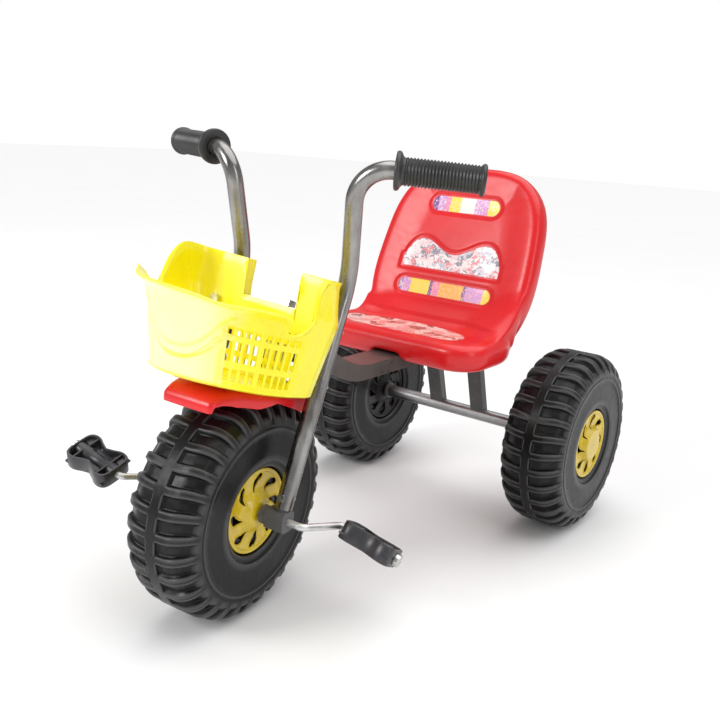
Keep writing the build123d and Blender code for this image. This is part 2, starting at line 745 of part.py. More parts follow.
def build():
    """All nodes by name."""
    parts = {}
    rubber = tyre()
    parts["front_tyre"] = steered(rubber)
    parts["crank_axle"] = steered(crank_axle())
    parts["drive_pins"] = [steered(pin) for pin in drive_pins()]
    for side, hand in ((1, "left"), (-1, "right")):
        parts["front_hub_" + hand] = steered(facing(front_hub(), side))
        parts["pedal_" + hand] = steered(pedal(side))
        parts["pedal_cap_" + hand] = steered(pedal_cap(side))
        parts["fork_tube_" + hand] = steered(fork_tube(side))
        parts["axle_foot_" + hand] = steered(axle_foot(side))
        parts["grip_" + hand] = steered(grip(side))
        parts["rear_tyre_" + hand] = rear_corner(side, side) * rubber
        parts["rear_hub_outer_" + hand] = rear_corner(side, side) * rear_hub_outer()
        parts["rear_hub_inner_" + hand] = rear_corner(side, -side) * rear_hub_inner()
        parts["stay_" + hand] = stay(side)
        parts["axle_plug_" + hand] = axle_plug(side)
    both = (1, -1)
    parts["foot_bolts"] = [steered(foot_bolt(side)) for side in both]
    parts["foot_nuts"] = [steered(foot_nut(side)) for side in both]
    parts["lower_crown_plate"] = steered(crown_plate(LOWER_PLATE))
    parts["upper_crown_plate"] = steered(crown_plate(UPPER_PLATE))
    parts["steering_bolt"] = steered(steering_bolt())
    parts["steering_washers"] = [steered(washer) for washer in steering_washers()]
    parts["steering_nut"] = steered(steering_nut())
    parts["basket"] = steered(basket())
    places = [(side, level) for side in both for level in BASKET_BOLT_Z]
    parts["basket_bolts"] = [steered(basket_bolt(*place)) for place in places]
    parts["basket_nuts"] = [steered(basket_nut(*place)) for place in places]
    parts["fender"] = steered(fender())
    parts["head_tube"] = head_tube()
    parts["head_bush_upper"] = head_bush(True)
    parts["head_bush_lower"] = head_bush(False)
    parts["backbone"] = backbone()
    parts["seat_bracket"] = seat_bracket()
    parts["seat_bolts"] = seat_bolts()
    parts["seat"] = seat()
    parts["rear_axle_tube"] = rear_axle_tube()
    parts["rear_axle_rod"] = rear_axle_rod()
    parts["axle_nuts"] = axle_nuts()
    return parts


def save(name, shape):
    """Writes one node's solids to its STEP file."""
    pieces = shape if isinstance(shape, list) else [shape]
    solids = [solid for piece in pieces for solid in piece.solids()]
    export_step(Compound(children=solids) if len(solids) > 1 else solids[0], f"parts/{name}.step")
    return solids


os.makedirs("parts", exist_ok=True)
everything = []
for node, node_shape in build().items():
    everything += save(node, node_shape)
box = Compound(children=everything).bounding_box()
print("box", box.min, box.max)
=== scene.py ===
import math
from functools import partial

import bmesh
import bpy
import numpy as np
from mathutils import Matrix, Vector
from mathutils.bvhtree import BVHTree


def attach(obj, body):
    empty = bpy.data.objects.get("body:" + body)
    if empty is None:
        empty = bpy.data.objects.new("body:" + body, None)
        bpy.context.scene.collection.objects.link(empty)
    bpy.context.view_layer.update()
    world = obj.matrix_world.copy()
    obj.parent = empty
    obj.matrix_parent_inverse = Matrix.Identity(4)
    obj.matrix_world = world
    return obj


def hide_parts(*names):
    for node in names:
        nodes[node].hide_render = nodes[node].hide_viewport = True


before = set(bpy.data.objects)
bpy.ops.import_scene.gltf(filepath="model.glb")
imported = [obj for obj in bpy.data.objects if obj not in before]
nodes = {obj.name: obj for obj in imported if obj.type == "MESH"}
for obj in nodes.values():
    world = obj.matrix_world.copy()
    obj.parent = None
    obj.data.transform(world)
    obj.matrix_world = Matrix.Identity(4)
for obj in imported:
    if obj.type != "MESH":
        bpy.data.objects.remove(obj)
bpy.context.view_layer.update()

# Sizes are in millimetres until a mesh is placed, and follow the CAD model's own dimensions.
MM = 0.001
MERGE = 1e-5
WHEEL_R = 125.0
WHEEL_HALF_W = 44.0
WHEELBASE = 490.0
HALF_TRACK = 176.0
REAR_AXLE_Y = 245.6
FRONT_LIFT = 0.77
RAKE = 20.0
TRAIL = 9.0
REST_STEER = 7.0
BASKET_LEAN = 14.0
BASKET_Y = 19.0

FORK_ORIGIN = Vector((0, REAR_AXLE_Y - WHEELBASE, WHEEL_R + FRONT_LIFT))
STEER_AXIS = Vector((0, math.sin(math.radians(RAKE)), math.cos(math.radians(RAKE))))
STEER_PIVOT = FORK_ORIGIN + Vector((0, TRAIL, 0))

STEERED = (
    Matrix.Translation(STEER_PIVOT)
    @ Matrix.Rotation(math.radians(REST_STEER), 4, STEER_AXIS)
    @ Matrix.Translation(FORK_ORIGIN - STEER_PIVOT)
)
BASKET_SPACE = (
    STEERED @ Matrix.Translation((0, BASKET_Y, 0)) @ Matrix.Rotation(math.radians(-BASKET_LEAN), 4, "X")
)
HANDS = (("left", 1), ("right", -1))


# ---- helpers


def smoothstep(low, high, x):
    """0 below low, 1 above high and smooth between them, for arrays."""
    t = np.clip((np.asarray(x, float) - low) / (high - low), 0.0, 1.0)
    return t * t * (3.0 - 2.0 * t)


def new_object(name, vertices, faces, matrix=Matrix.Identity(4)):
    """A mesh object from vertices in millimetres, placed by matrix and then in metres."""
    mesh = bpy.data.meshes.new(name)
    mesh.from_pydata([tuple(v) for v in vertices], [], [tuple(f) for f in faces])
    mesh.transform(Matrix.Scale(MM, 4) @ matrix)
    mesh.validate()
    mesh.update()
    piece = bpy.data.objects.new(name, mesh)
    bpy.context.scene.collection.objects.link(piece)
    mesh.shade_smooth()
    return piece


def grid_faces(rows, columns, close_rows=False, close_columns=False):
    """Quads of a grid of vertices that is stored row by row."""
    faces = []
    for i in range(rows if close_rows else rows - 1):
        for j in range(columns if close_columns else columns - 1):
            a = i * columns + j
            b = i * columns + (j + 1) % columns
            c = ((i + 1) % rows) * columns + (j + 1) % columns
            d = ((i + 1) % rows) * columns + j
            faces.append((a, b, c, d))
    return faces


def lathe(name, profile, matrix=Matrix.Identity(4), segments=96, closed=True):
    """A solid turned about X from (x, radius) points, listed so that its faces look outwards."""
    profile = np.array(profile, float)
    angles = np.linspace(0, 2 * math.pi, segments, endpoint=False)
    points = []
    for angle in angles:
        cos, sin = math.cos(angle), math.sin(angle)
        points.append(np.column_stack([profile[:, 0], -profile[:, 1] * cos, profile[:, 1] * sin]))
    faces = grid_faces(segments, len(profile), close_rows=True, close_columns=closed)
    return new_object(name, np.vstack(points), faces, matrix)


def cleaned(piece, merge=False, fill=False, facing=None):
    """Drops loose vertices, then merges doubles or closes holes if asked, and turns the faces one way."""
    bm = bmesh.new()
    bm.from_mesh(piece.data)
    bmesh.ops.delete(bm, geom=[v for v in bm.verts if not v.link_faces], context="VERTS")
    if merge:
        bmesh.ops.remove_doubles(bm, verts=bm.verts, dist=MERGE)
    if fill:
        bmesh.ops.holes_fill(bm, edges=[e for e in bm.edges if e.is_boundary], sides=0)
        bmesh.ops.triangulate(bm, faces=[f for f in bm.faces if len(f.verts) > 4])
    bmesh.ops.recalc_face_normals(bm, faces=bm.faces)
    if facing and sum(f.normal.dot(facing) * f.calc_area() for f in bm.faces) < 0:
        bmesh.ops.reverse_faces(bm, faces=bm.faces)
    bm.to_mesh(piece.data)
    bm.free()
    return piece


def modified(piece, kind, **settings):
    """Adds a modifier and applies it to the mesh at once."""
    modifier = piece.modifiers.new(kind, kind)
    for key, value in settings.items():
        setattr(modifier, key, value)
    graph = bpy.context.evaluated_depsgraph_get()
    graph.update()
    mesh = bpy.data.meshes.new_from_object(piece.evaluated_get(graph))
    piece.modifiers.clear()
    old = piece.data
    piece.data = mesh
    bpy.data.meshes.remove(old)
    return piece


def sharpen(piece, degrees=40):
    """Smooth shading with edges sharper than an angle left crisp."""
    piece.data.shade_smooth()
    piece.data.set_sharp_from_angle(angle=math.radians(degrees))
    return piece


def thickened(piece, thickness, offset=-1.0):
    """Gives a sheet its wall thickness."""
    return modified(piece, "SOLIDIFY", thickness=thickness * MM, offset=offset)


def rounded(piece, width, segments=2, degrees=50):
    """Rounds the edges sharper than an angle."""
    return modified(piece, "BEVEL", width=width * MM, segments=segments, limit_method="ANGLE",
                    angle_limit=math.radians(degrees))


def moved(piece, matrix):
    """Places a piece by a matrix in millimetres."""
    piece.data.transform(Matrix.Scale(MM, 4) @ matrix @ Matrix.Scale(1 / MM, 4))
    return piece


def joined(name, pieces):
    """One object from several."""
    bm = bmesh.new()
    for piece in pieces:
        bm.from_mesh(piece.data)
        bpy.data.objects.remove(piece)
    mesh = bpy.data.meshes.new(name)
    bm.to_mesh(mesh)
    bm.free()
    whole = bpy.data.objects.new(name, mesh)
    bpy.context.scene.collection.objects.link(whole)
    mesh.shade_smooth()
    return whole


# ---- materials


class Nodes:
    """A short way to write a node material."""

    def __init__(self, name):
        self.material = bpy.data.materials.new(name)
        self.material.use_nodes = True
        self.tree = self.material.node_tree
        self.shader = self.tree.nodes["Principled BSDF"]
        self.coords = self.add("ShaderNodeTexCoord").outputs["Object"]

    def feed(self, socket, value):
        """Sets a socket to a number or colour, or links it to another node's output."""
        if isinstance(value, bpy.types.NodeSocket):
            self.tree.links.new(value, socket)
        elif isinstance(value, tuple) and len(socket.default_value) == 4:
            socket.default_value = (*value, 1.0)
        else:
            socket.default_value = value

    def add(self, kind, inputs=(), **settings):
        """A node with its settings and the values of its inputs, by name or place."""
        node = self.tree.nodes.new(kind)
        for key, value in settings.items():
            setattr(node, key, value)
        for key, value in inputs:
            self.feed(node.inputs[key], value)
        return node

    def scaled(self, scale):
        """Object coordinates stretched by a scale per axis."""
        mapping = self.add("ShaderNodeMapping", [("Scale", scale), ("Vector", self.coords)])
        return mapping.outputs["Vector"]

    def axis(self, name):
        """One of the object coordinates."""
        return self.add("ShaderNodeSeparateXYZ", [("Vector", self.coords)]).outputs[name]

    def noise(self, scale, detail=4.0, roughness=0.55, vector=None, distortion=0.0):
        """A soft cloud pattern."""
        inputs = [("Scale", scale), ("Detail", detail), ("Roughness", roughness), ("Distortion", distortion)]
        return self.add("ShaderNodeTexNoise", inputs + [("Vector", vector or self.coords)]).outputs["Fac"]

    def ramp(self, value, stops, interpolation="LINEAR"):
        """Colours along a value, blended or in plain bands."""
        node = self.add("ShaderNodeValToRGB", [("Fac", value)])
        ramp = node.color_ramp
        ramp.interpolation = interpolation
        while len(ramp.elements) < len(stops):
            ramp.elements.new(0.99)
        for element, (place, colour) in zip(ramp.elements, stops):
            element.position = place
            element.color = (*colour, 1.0)
        return node.outputs["Color"]

    def clouded(self, value, dark, light, low=0.32, high=0.68):
        """Two colours blended by a pattern."""
        return self.ramp(value, [(low, dark), (high, light)])

    def span(self, value, low, high, from_low=0.3, from_high=0.7):
        """Maps a range of a value onto another, without leaving it."""
        inputs = [("From Min", from_low), ("From Max", from_high), ("To Min", low), ("To Max", high)]
        return self.add("ShaderNodeMapRange", inputs + [("Value", value)]).outputs["Result"]

    def maths(self, operation, a, b):
        """One sum."""
        return self.add("ShaderNodeMath", [(0, a), (1, b)], operation=operation).outputs["Value"]

    def ridges(self, low, high, from_low, from_high):
        """How much an edge stands proud of its surroundings."""
        edges = self.add("ShaderNodeNewGeometry").outputs["Pointiness"]
        return self.span(edges, low, high, from_low, from_high)

    def mix(self, factor, a, b):
        """Colour a where factor is 0 and colour b where it is 1."""
        return self.add("ShaderNodeMixRGB", [("Fac", factor), ("Color1", a), ("Color2", b)]).outputs["Color"]

    def bump(self, height, strength=0.2, distance=0.0005, after=None):
        """Relief from a pattern, on top of an earlier one if there is one."""
        inputs = [("Strength", strength), ("Distance", distance), ("Height", height)]
        node = self.add("ShaderNodeBump", inputs + ([("Normal", after)] if after else []))
        self.feed(self.shader.inputs["Normal"], node.outputs["Normal"])
        return node.outputs["Normal"]

    def set(self, **sockets):
        """Feeds the shader's sockets."""
        for name, value in sockets.items():
            self.feed(self.shader.inputs[name.replace("_", " ")], value)


def glossy_plastic(name, dark, light, rough, mottle, coat=0.35):
    """Blow-moulded or injected shiny plastic: faint colour clouds, orange peel and fine scratches."""
    n = Nodes(name)
    n.set(Base_Color=n.clouded(n.noise(mottle, detail=3.0), dark, light))
    scratches = n.noise(60.0, detail=6.0, vector=n.scaled((1.0, 7.0, 1.0)))
    n.set(Roughness=n.span(scratches, rough * 0.9, rough * 1.2))
    peel = n.bump(n.noise(55.0, detail=2.0), strength=0.12, distance=0.001)
    n.bump(n.noise(420.0, detail=3.0), strength=0.05, distance=0.0004, after=peel)
    n.set(Coat_Weight=coat, Coat_Roughness=0.12, Specular_IOR_Level=0.5)
    return n.material


def basket_plastic(name):
    """Yellow plastic with painted light: a painted highlight makes it paler over the basket's front, and
    painted shade keeps the deep yellow along the raised edges there.
    """
    n = Nodes(name)
    clouds = n.noise(9.0, detail=3.0)
    # painted highlight: towards the front the colour is mixed towards pale yellow, as glare from the key
    # light
    glare_share = n.span(n.axis("Y"), 1.0, 0.0, -0.335, -0.306)
    deep = n.clouded(clouds, (0.95, 0.83, 0.001), (0.98, 0.89, 0.004))
    pale = n.clouded(clouds, (0.97, 0.93, 0.36), (0.98, 0.95, 0.46))
    # painted shade: convex edges keep the deep yellow inside the pale front, as painted shading lines
    n.set(Base_Color=n.mix(n.maths("MULTIPLY", glare_share, n.ridges(1.0, 0.15, 0.503, 0.522)), deep, pale))
    scratches = n.noise(60.0, detail=6.0, vector=n.scaled((1.0, 4.0, 1.0)))
    n.set(Roughness=n.span(scratches, 0.24, 0.32))
    n.bump(n.noise(55.0, detail=2.0), strength=0.08, distance=0.001)
    n.set(Coat_Weight=0.4, Coat_Roughness=0.12, Subsurface_Weight=0.06, Subsurface_Scale=0.003)
    n.set(Subsurface_Radius=(1.0, 0.8, 0.15))
    return n.material


def black_plastic(name, dark, light, rough, scuff, shine=0.5, lumps=0.1, ridge_highlight=0.0):
    """Black rubber or rubbery plastic with grey scuffs, a fine grain and, if asked, a painted highlight
    along raised ridges.
    """
    n = Nodes(name)
    clouds = n.noise(14.0, detail=6.0)
    scuffs = n.noise(85.0, detail=8.0, roughness=0.7, distortion=0.6)
    marks = n.maths("MULTIPLY", n.span(scuffs, 0.0, scuff, 0.58, 0.78), n.span(clouds, 0.0, 1.0))
    base = n.mix(marks, n.clouded(clouds, dark, light, 0.3, 0.72), (0.16, 0.16, 0.165))
    # painted highlight: raised edges are painted paler grey, for the gloss the lamps put on them
    if ridge_highlight:
        base = n.mix(n.ridges(0.0, ridge_highlight, 0.508, 0.540), base, (0.13, 0.13, 0.135))
    n.set(Base_Color=base, Roughness=n.span(scuffs, rough * 0.8, rough * 1.35), Specular_IOR_Level=shine)
    grain = n.bump(n.noise(260.0, detail=4.0), strength=0.16, distance=0.0005)
    n.bump(n.noise(60.0, detail=3.0), strength=lumps, distance=0.0012, after=grain)
    return n.material


def metal(name, dark, light, rough, grain, spots=0.0):
    """Plated or bare steel with streaks along a grain and, if asked, small dull spots."""
    n = Nodes(name)
    streaks = n.noise(90.0, detail=6.0, vector=n.scaled(grain))
    clouds = n.noise(16.0, detail=5.0)
    both = n.maths("ADD", n.maths("MULTIPLY", streaks, 0.5), n.maths("MULTIPLY", clouds, 0.5))
    colour = n.clouded(both, dark, light, 0.36, 0.64)
    if spots:
        stains = n.span(n.noise(48.0, detail=8.0, roughness=0.75), 0.0, spots, 0.6, 0.72)
        colour = n.mix(stains, colour, (0.16, 0.13, 0.10))
    n.set(Base_Color=colour, Metallic=1.0, Roughness=n.span(streaks, rough * 0.7, rough * 1.5))
    n.bump(streaks, strength=0.06, distance=0.0003)
    return n.material


def painted(name, dark, light, rough):
    """Paint over steel: faint drips and clouds, orange peel, and a few worn spots."""
    n = Nodes(name)
    clouds = n.noise(22.0, detail=5.0)
    worn = n.span(n.noise(70.0, detail=9.0, roughness=0.72), 0.0, 0.4, 0.63, 0.7)
    n.set(Base_Color=n.mix(worn, n.clouded(clouds, dark, light, 0.3, 0.7), (0.32, 0.30, 0.28)))
    n.set(Roughness=n.span(clouds, rough * 0.8, rough * 1.3), Coat_Weight=0.15, Coat_Roughness=0.25)
    n.bump(n.noise(150.0, detail=3.0), strength=0.14, distance=0.0006)
    return n.material


# the tyre's raised tread edges get a painted highlight
TYRE = black_plastic("tyre_black", (0.0035, 0.0034, 0.0038), (0.007, 0.0068, 0.0075), 0.30, 0.08,
                     shine=0.24, lumps=0.4, ridge_highlight=0.5)
GRIP = black_plastic("grip_black", (0.020, 0.020, 0.021), (0.040, 0.040, 0.042), 0.34, 0.25)
INNER_HUB = black_plastic("hub_black", (0.006, 0.005, 0.005), (0.014, 0.011, 0.010), 0.36, 0.15, shine=0.3)
PEDAL = black_plastic("pedal_black", (0.022, 0.021, 0.025), (0.045, 0.043, 0.050), 0.32, 0.4)
NYLON = black_plastic("nylon_grey", (0.085, 0.085, 0.09), (0.15, 0.15, 0.155), 0.5, 0.3)
HUB = glossy_plastic("hub_gold", (0.56, 0.38, 0.006), (0.72, 0.53, 0.016), rough=0.24, mottle=30.0)
RED = glossy_plastic("shell_red", (0.63, 0.004, 0.007), (0.75, 0.008, 0.013), rough=0.30, mottle=7.0,
                     coat=0.08)
YELLOW = basket_plastic("basket_yellow")
TUBE = metal("tube_bright", (0.17, 0.16, 0.155), (0.38, 0.37, 0.36), 0.24, (1.0, 1.0, 0.12), spots=0.25)
ROD = metal("rod_plated", (0.52, 0.52, 0.52), (0.76, 0.76, 0.75), 0.42, (0.15, 1.0, 1.0))
BOLT = metal("bolt_zinc", (0.42, 0.41, 0.39), (0.72, 0.72, 0.71), 0.26, (1.0, 1.0, 1.0))
AXLE = metal("axle_steel", (0.24, 0.24, 0.24), (0.46, 0.46, 0.46), 0.34, (0.12, 1.0, 1.0), spots=0.5)
PLATE = metal("plate_steel", (0.30, 0.30, 0.29), (0.52, 0.52, 0.51), 0.34, (0.2, 1.0, 1.0), spots=0.3)
SPINE = painted("spine_paint", (0.060, 0.048, 0.042), (0.115, 0.095, 0.085), 0.30)
STAY = painted("stay_paint", (0.030, 0.028, 0.028), (0.070, 0.066, 0.064), 0.32)


def paint(piece, material):
    """Gives a piece one material."""
    piece.data.materials.clear()
    piece.data.materials.append(material)


def finish_piece(piece, body, slot, material, *replaced):
    """Paints a piece, hides the parts it replaces and lets it ride on a body; its slot is not used."""
    paint(piece, material)
    if replaced:
        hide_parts(*replaced)
    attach(piece, body)


CAD_LOOKS = {
    "fork_tube": TUBE, "crank_axle": ROD, "rear_axle_rod": ROD, "rear_axle_tube": AXLE, "axle_plug": NYLON,
    "axle_foot": NYLON, "head_bush": NYLON, "head_tube": SPINE, "backbone": SPINE, "seat_bracket": STAY,
    "stay": STAY, "upper_crown": PLATE, "lower_crown": PLATE, "drive_pins": ROD, "pedal_cap": BOLT,
}


def look_of(node):
    """The material of a CAD node that stays in view."""
    for start, material in CAD_LOOKS.items():
        if node.startswith(start):
            return material
    return BOLT


for node_name, node in nodes.items():
    paint(node, look_of(node_name))


# ---- tyres

BARS = 32
SHOULDER = 24.0
TREAD_R = WHEEL_R - 0.12
SIDE_WALL = [(43.9, 98.5), (43.3, 96.8), (43.2, 95.6), (43.8, 94.6), (43.8, 92.6), (43.0, 91.6),
             (42.7, 86.0), (42.9, 76.0), (43.2, 66.0), (43.2, 58.5), (42.6, 57.2), (41.2, 56.5),
             (40.8, 55.0), (40.2, 52.0), (38.6, 50.6)]
WELL = [(36.5, 50.0), (33.2, 49.9), (32.3, 49.0), (32.0, 47.0), (32.0, 37.0), (31.4, 34.6), (30.0, 34.0),
        (14.0, 34.0), (0.0, 34.0)]


def tyre_section():
    """From the middle of the tread to the middle of the bore: x, radius, the normal's x and r, bar depth."""
    rows = [(x, TREAD_R, 0.0, 1.0) for x in (0.0, 3.0, 4.6, 5.4, 6.0, 6.6, 7.4, 9.5, 13.0, 17.0)]
    for turn in np.radians(range(0, 91, 9)):
        x = WHEEL_HALF_W - SHOULDER + SHOULDER * math.sin(turn)
        rows.append((x, TREAD_R - SHOULDER + SHOULDER * math.cos(turn), math.sin(turn), math.cos(turn)))
    tread = len(rows)
    rows += [(x, r, 1.0, 0.0) for x, r in SIDE_WALL] + [(x, r, 0.0, 0.0) for x, r in WELL]
    rows = np.array(rows)
    depth = smoothstep(5.6, 7.6, rows[:, 0]) * (4.6 + 1.2 * smoothstep(10, 34, rows[:, 0]))
    lean = np.degrees(np.arctan2(rows[:, 2], rows[:, 3] + 1e-9))
    depth *= 1.0 - smoothstep(52.0, 86.0, lean)
    depth[tread:] = 0.0
    return np.column_stack([rows, depth])


def tyre_mesh(name, matrix):
    """A tyre with a middle rib and rounded cross bars, about the X axis."""
    right = tyre_section()
    left = right[1:-1][::-1] * np.array([-1, 1, -1, 1, 1])
    loop = np.vstack([right, left])
    phases = np.array([0, 0.035, 0.07, 0.11, 0.17, 0.26, 0.35, 0.41,
                       0.45, 0.485, 0.52, 0.56, 0.66, 0.78, 0.90, 0.96])
    bar = smoothstep(0.0, 0.11, phases) * (1 - smoothstep(0.41, 0.52, phases))
    # the bars sweep back a little towards the shoulders
    sweep = 0.16 * smoothstep(8, 44, np.abs(loop[:, 0]))
    rings = []
    for index in range(BARS):
        for phase, high in zip(phases, bar):
            angle = (index + phase + sweep) * 2 * math.pi / BARS
            pocket = loop[:, 4] * (1 - high)
            x = loop[:, 0] - loop[:, 2] * pocket
            r = loop[:, 1] - loop[:, 3] * pocket
            rings.append(np.column_stack([x, -r * np.cos(angle), r * np.sin(angle)]))
    faces = grid_faces(len(rings), len(loop), close_rows=True, close_columns=True)
    return cleaned(new_object(name, np.vstack(rings), faces, matrix), merge=True)


def facing(side):
    """Turns a piece made facing +X towards a side."""
    return Matrix.Rotation(0.0 if side > 0 else math.pi, 4, "Z")


def rear_matrix(side):
    """Places a wheel piece, made facing +X, at a rear corner."""
    return Matrix.Translation((side * HALF_TRACK, REAR_AXLE_Y, WHEEL_R)) @ facing(side)


finish_piece(tyre_mesh("front_tyre_tread", STEERED), "front_wheel", "tyre_rubber", TYRE, "front_tyre")
for hand, side in HANDS:
    finish_piece(tyre_mesh("rear_tyre_tread_" + hand, rear_matrix(side)), "rear_wheel_" + hand,
                 "tyre_rubber", TYRE, "rear_tyre_" + hand)


# ---- hubs

DISC_R = 48.3
DROPS = 8
DROP_START_R = 24.5
DROP_LENGTH = 12.3
DROP_SWIRL = 0.017
DROP_SWIRL_R = 36.0


def drop_distance(radius, angle):
    """Below zero inside the swirling teardrop holes of a hub disc."""
    swirl = angle - (radius - DROP_SWIRL_R) * DROP_SWIRL
    pitch = 2 * math.pi / DROPS
    local = (swirl + pitch / 2) % pitch - pitch / 2
    across = local * radius
    along = np.clip((radius - DROP_START_R) / DROP_LENGTH, 0, 1)
    girth = 1.0 + 5.0 * along ** 1.25
    return np.hypot(across, radius - (DROP_START_R + DROP_LENGTH * along)) - girth


def hub_height(radius, angle, boss_r, boss_x, face_x):
    """How far out the face of a hub disc stands."""
    rim = 1.6 * smoothstep(43.0, 45.0, radius)
    dish = -1.5 * smoothstep(43.5, 30.0, radius)
    hill = smoothstep(27.0, boss_r + 1.0, radius)
    ridge = 1.1 * np.exp(-((drop_distance(radius, angle) - 1.1) / 0.9) ** 2) * smoothstep(44.0, 41.0, radius)
    return face_x + rim + dish + ridge + (boss_x - face_x - 1.5) * hill


def hub_plate(name, matrix, boss_r, boss_x, face_x, bore_r):
    """A hub disc with teardrop holes, a raised rim and a coned boss, as one thin shell."""
    radii = np.concatenate([np.linspace(bore_r, boss_r, 5), np.linspace(boss_r + 0.9, 23.5, 9),
                            np.linspace(24.1, 43.2, 34), np.linspace(43.9, DISC_R - 0.8, 6),
                            [DISC_R - 0.2, DISC_R]])
    steps = DROPS * 44
    angles = np.arange(steps) * 2 * math.pi / steps
    rr, aa = np.meshgrid(radii, angles, indexing="ij")
    inside = drop_distance(rr, aa)
    x = hub_height(rr, aa, boss_r, boss_x, face_x)
    x[-1] -= 2.2
    x[-2] -= 0.5
    # pulls the vertices near a hole onto its outline
    step = 0.02
    for _ in range(3):
        slope_r = (drop_distance(rr + step, aa) - inside) / step
        slope_a = (drop_distance(rr, aa + step / rr) - inside) / step
        move = np.where(np.abs(inside) < 0.55, inside, 0.0) / (np.hypot(slope_r, slope_a) + 1e-9)
        rr, aa = rr - move * slope_r, aa - move * slope_a / rr
        inside = drop_distance(rr, aa)
    points = np.column_stack([x.ravel(), (-rr * np.cos(aa)).ravel(), (rr * np.sin(aa)).ravel()])
    depth = inside.ravel()
    boss_end = 5 * steps
    faces = []
    for face in grid_faces(len(radii), steps, close_columns=True):
        if min(face) < boss_end or np.mean(depth[list(face)]) >= 0:
            faces.append(face)
    piece = cleaned(new_object(name, points, faces), facing=Vector((1, 0, 0)))
    return sharpen(moved(thickened(piece, 2.0), matrix), 35)


def hub_half(name, matrix, boss, bore_r, sleeve_r, sleeve_end):
    """A hub half: its disc, and behind it the tube that carries it on its axle."""
    plate = hub_plate(name + "_disc", matrix, *boss)
    profile = [(0.5, bore_r), (0.5, sleeve_r - 0.8), (1.3, sleeve_r), (sleeve_end - 3, sleeve_r),
               (sleeve_end, sleeve_r + 4), (sleeve_end + 0.5, sleeve_r + 4), (sleeve_end + 0.5, bore_r)]
    return joined(name, [plate, lathe(name + "_sleeve", profile, matrix, segments=48)])


# the boss: its radius, its height, the height of the face round it and the radius of its bore
FRONT_BOSS = (12.5, 45.2, 35.0, 4.2)
CAP_BOSS = (19.5, 46.6, 37.5, 0.6)
INNER_BOSS = (11.0, 43.8, 35.0, 5.2)
for hand, side in HANDS:
    disc = hub_half("front_hub_disc_" + hand, STEERED @ facing(side), FRONT_BOSS, 4.4, 9.0, 32.0)
    finish_piece(disc, "front_wheel", "hub_yellow", HUB, "front_hub_" + hand)
    cap = hub_half("rear_hub_cap_" + hand, rear_matrix(side), CAP_BOSS, 5.2, 9.5, 31.0)
    finish_piece(cap, "rear_wheel_" + hand, "hub_yellow", HUB, "rear_hub_outer_" + hand)
    back = hub_half("rear_hub_back_" + hand, rear_matrix(side) @ facing(-1), INNER_BOSS, 5.2, 9.5, 31.0)
    finish_piece(back, "rear_wheel_" + hand, "tyre_rubber", INNER_HUB, "rear_hub_inner_" + hand)


# ---- basket

BASKET_FLOOR = 133.0
BASKET_RIM = 216.0
EAR_TOP = 258.5
BASKET_BACK = -22.0
BASKET_FRONT = -152.0
FRONT_FLARE = 0.26
SIDE_FLARE = 0.18
EAR_DRAW = 0.33
BASKET_HALF_W = 85.0
EAR_INNER_X = 37.0
GAP_SILL = 219.0
BACK_BEND = 24.0
WALL = 2.4
PLAN_LEVEL = 165.0
ROWS_ABOVE = 16
LEFT_DROOP = 0.052
FAR_SLOTS_FROM = 70.0

# slots: distances along the side wall from the front's middle, and places along the back wall
SIDE_SLOTS = (52.6, 61.0, 69.2, 77.6, 88.6, 97.0, 105.4, 113.6, 121.4)
BACK_SLOTS = (5.0, 14.0, 23.0, 32.0, 43.5, 52.5)
SLOT_W = 5.6
SLOT_ROWS = ((139.0, 152.0), (158.0, 179.0), (185.0, 193.0))


def spline_through(points, count, mirrored=False):
    """Points evenly spaced along a smooth curve; a mirrored one crosses x = 0 at a right angle."""
    points = np.array(points, float)
    before = points[1] * [-1, 1] if mirrored else 2 * points[0] - points[1]
    padded = np.vstack([before, points, 2 * points[-1] - points[-2]])
    t = np.linspace(0, 1, 24, endpoint=False)[:, None]
    dense = []
    for k in range(1, len(padded) - 2):
        p0, p1, p2, p3 = padded[k - 1:k + 3]
        dense.append(0.5 * (2 * p1 + (p2 - p0) * t + (2 * p0 - 5 * p1 + 4 * p2 - p3) * t ** 2
                            + (3 * p1 - p0 - 3 * p2 + p3) * t ** 3))
    dense = np.vstack(dense + [points[-1:]])
    run = np.concatenate([[0], np.cumsum(np.linalg.norm(np.diff(dense, axis=0), axis=1))])
    wanted = np.linspace(0, run[-1], count) if np.isscalar(count) else np.asarray(count) * run[-1]
    return np.column_stack([np.interp(wanted, run, dense[:, k]) for k in range(dense.shape[1])])


def half_width(level):
    """Half of the basket's width at a level: it widens to the rim, and the ears draw in again."""
    return BASKET_HALF_W + (level - BASKET_FLOOR) * SIDE_FLARE - max(level - BASKET_RIM, 0) * EAR_DRAW


def side_curve(level):
    """The plan from the front's middle round to the start of the back wall, on +X."""
    half = half_width(level)
    front = BASKET_FRONT - (level - BASKET_FLOOR) * FRONT_FLARE
    corner = BACK_BEND * 0.29
    return np.array([
        (0.0, front), (half * 0.44, front * 0.93), (half * 0.81, front * 0.76), (half * 0.97, front * 0.56),
        (half, front * 0.36), (half, BASKET_BACK - BACK_BEND), (half - corner, BASKET_BACK - corner),
        (half - BACK_BEND, BASKET_BACK),
    ])


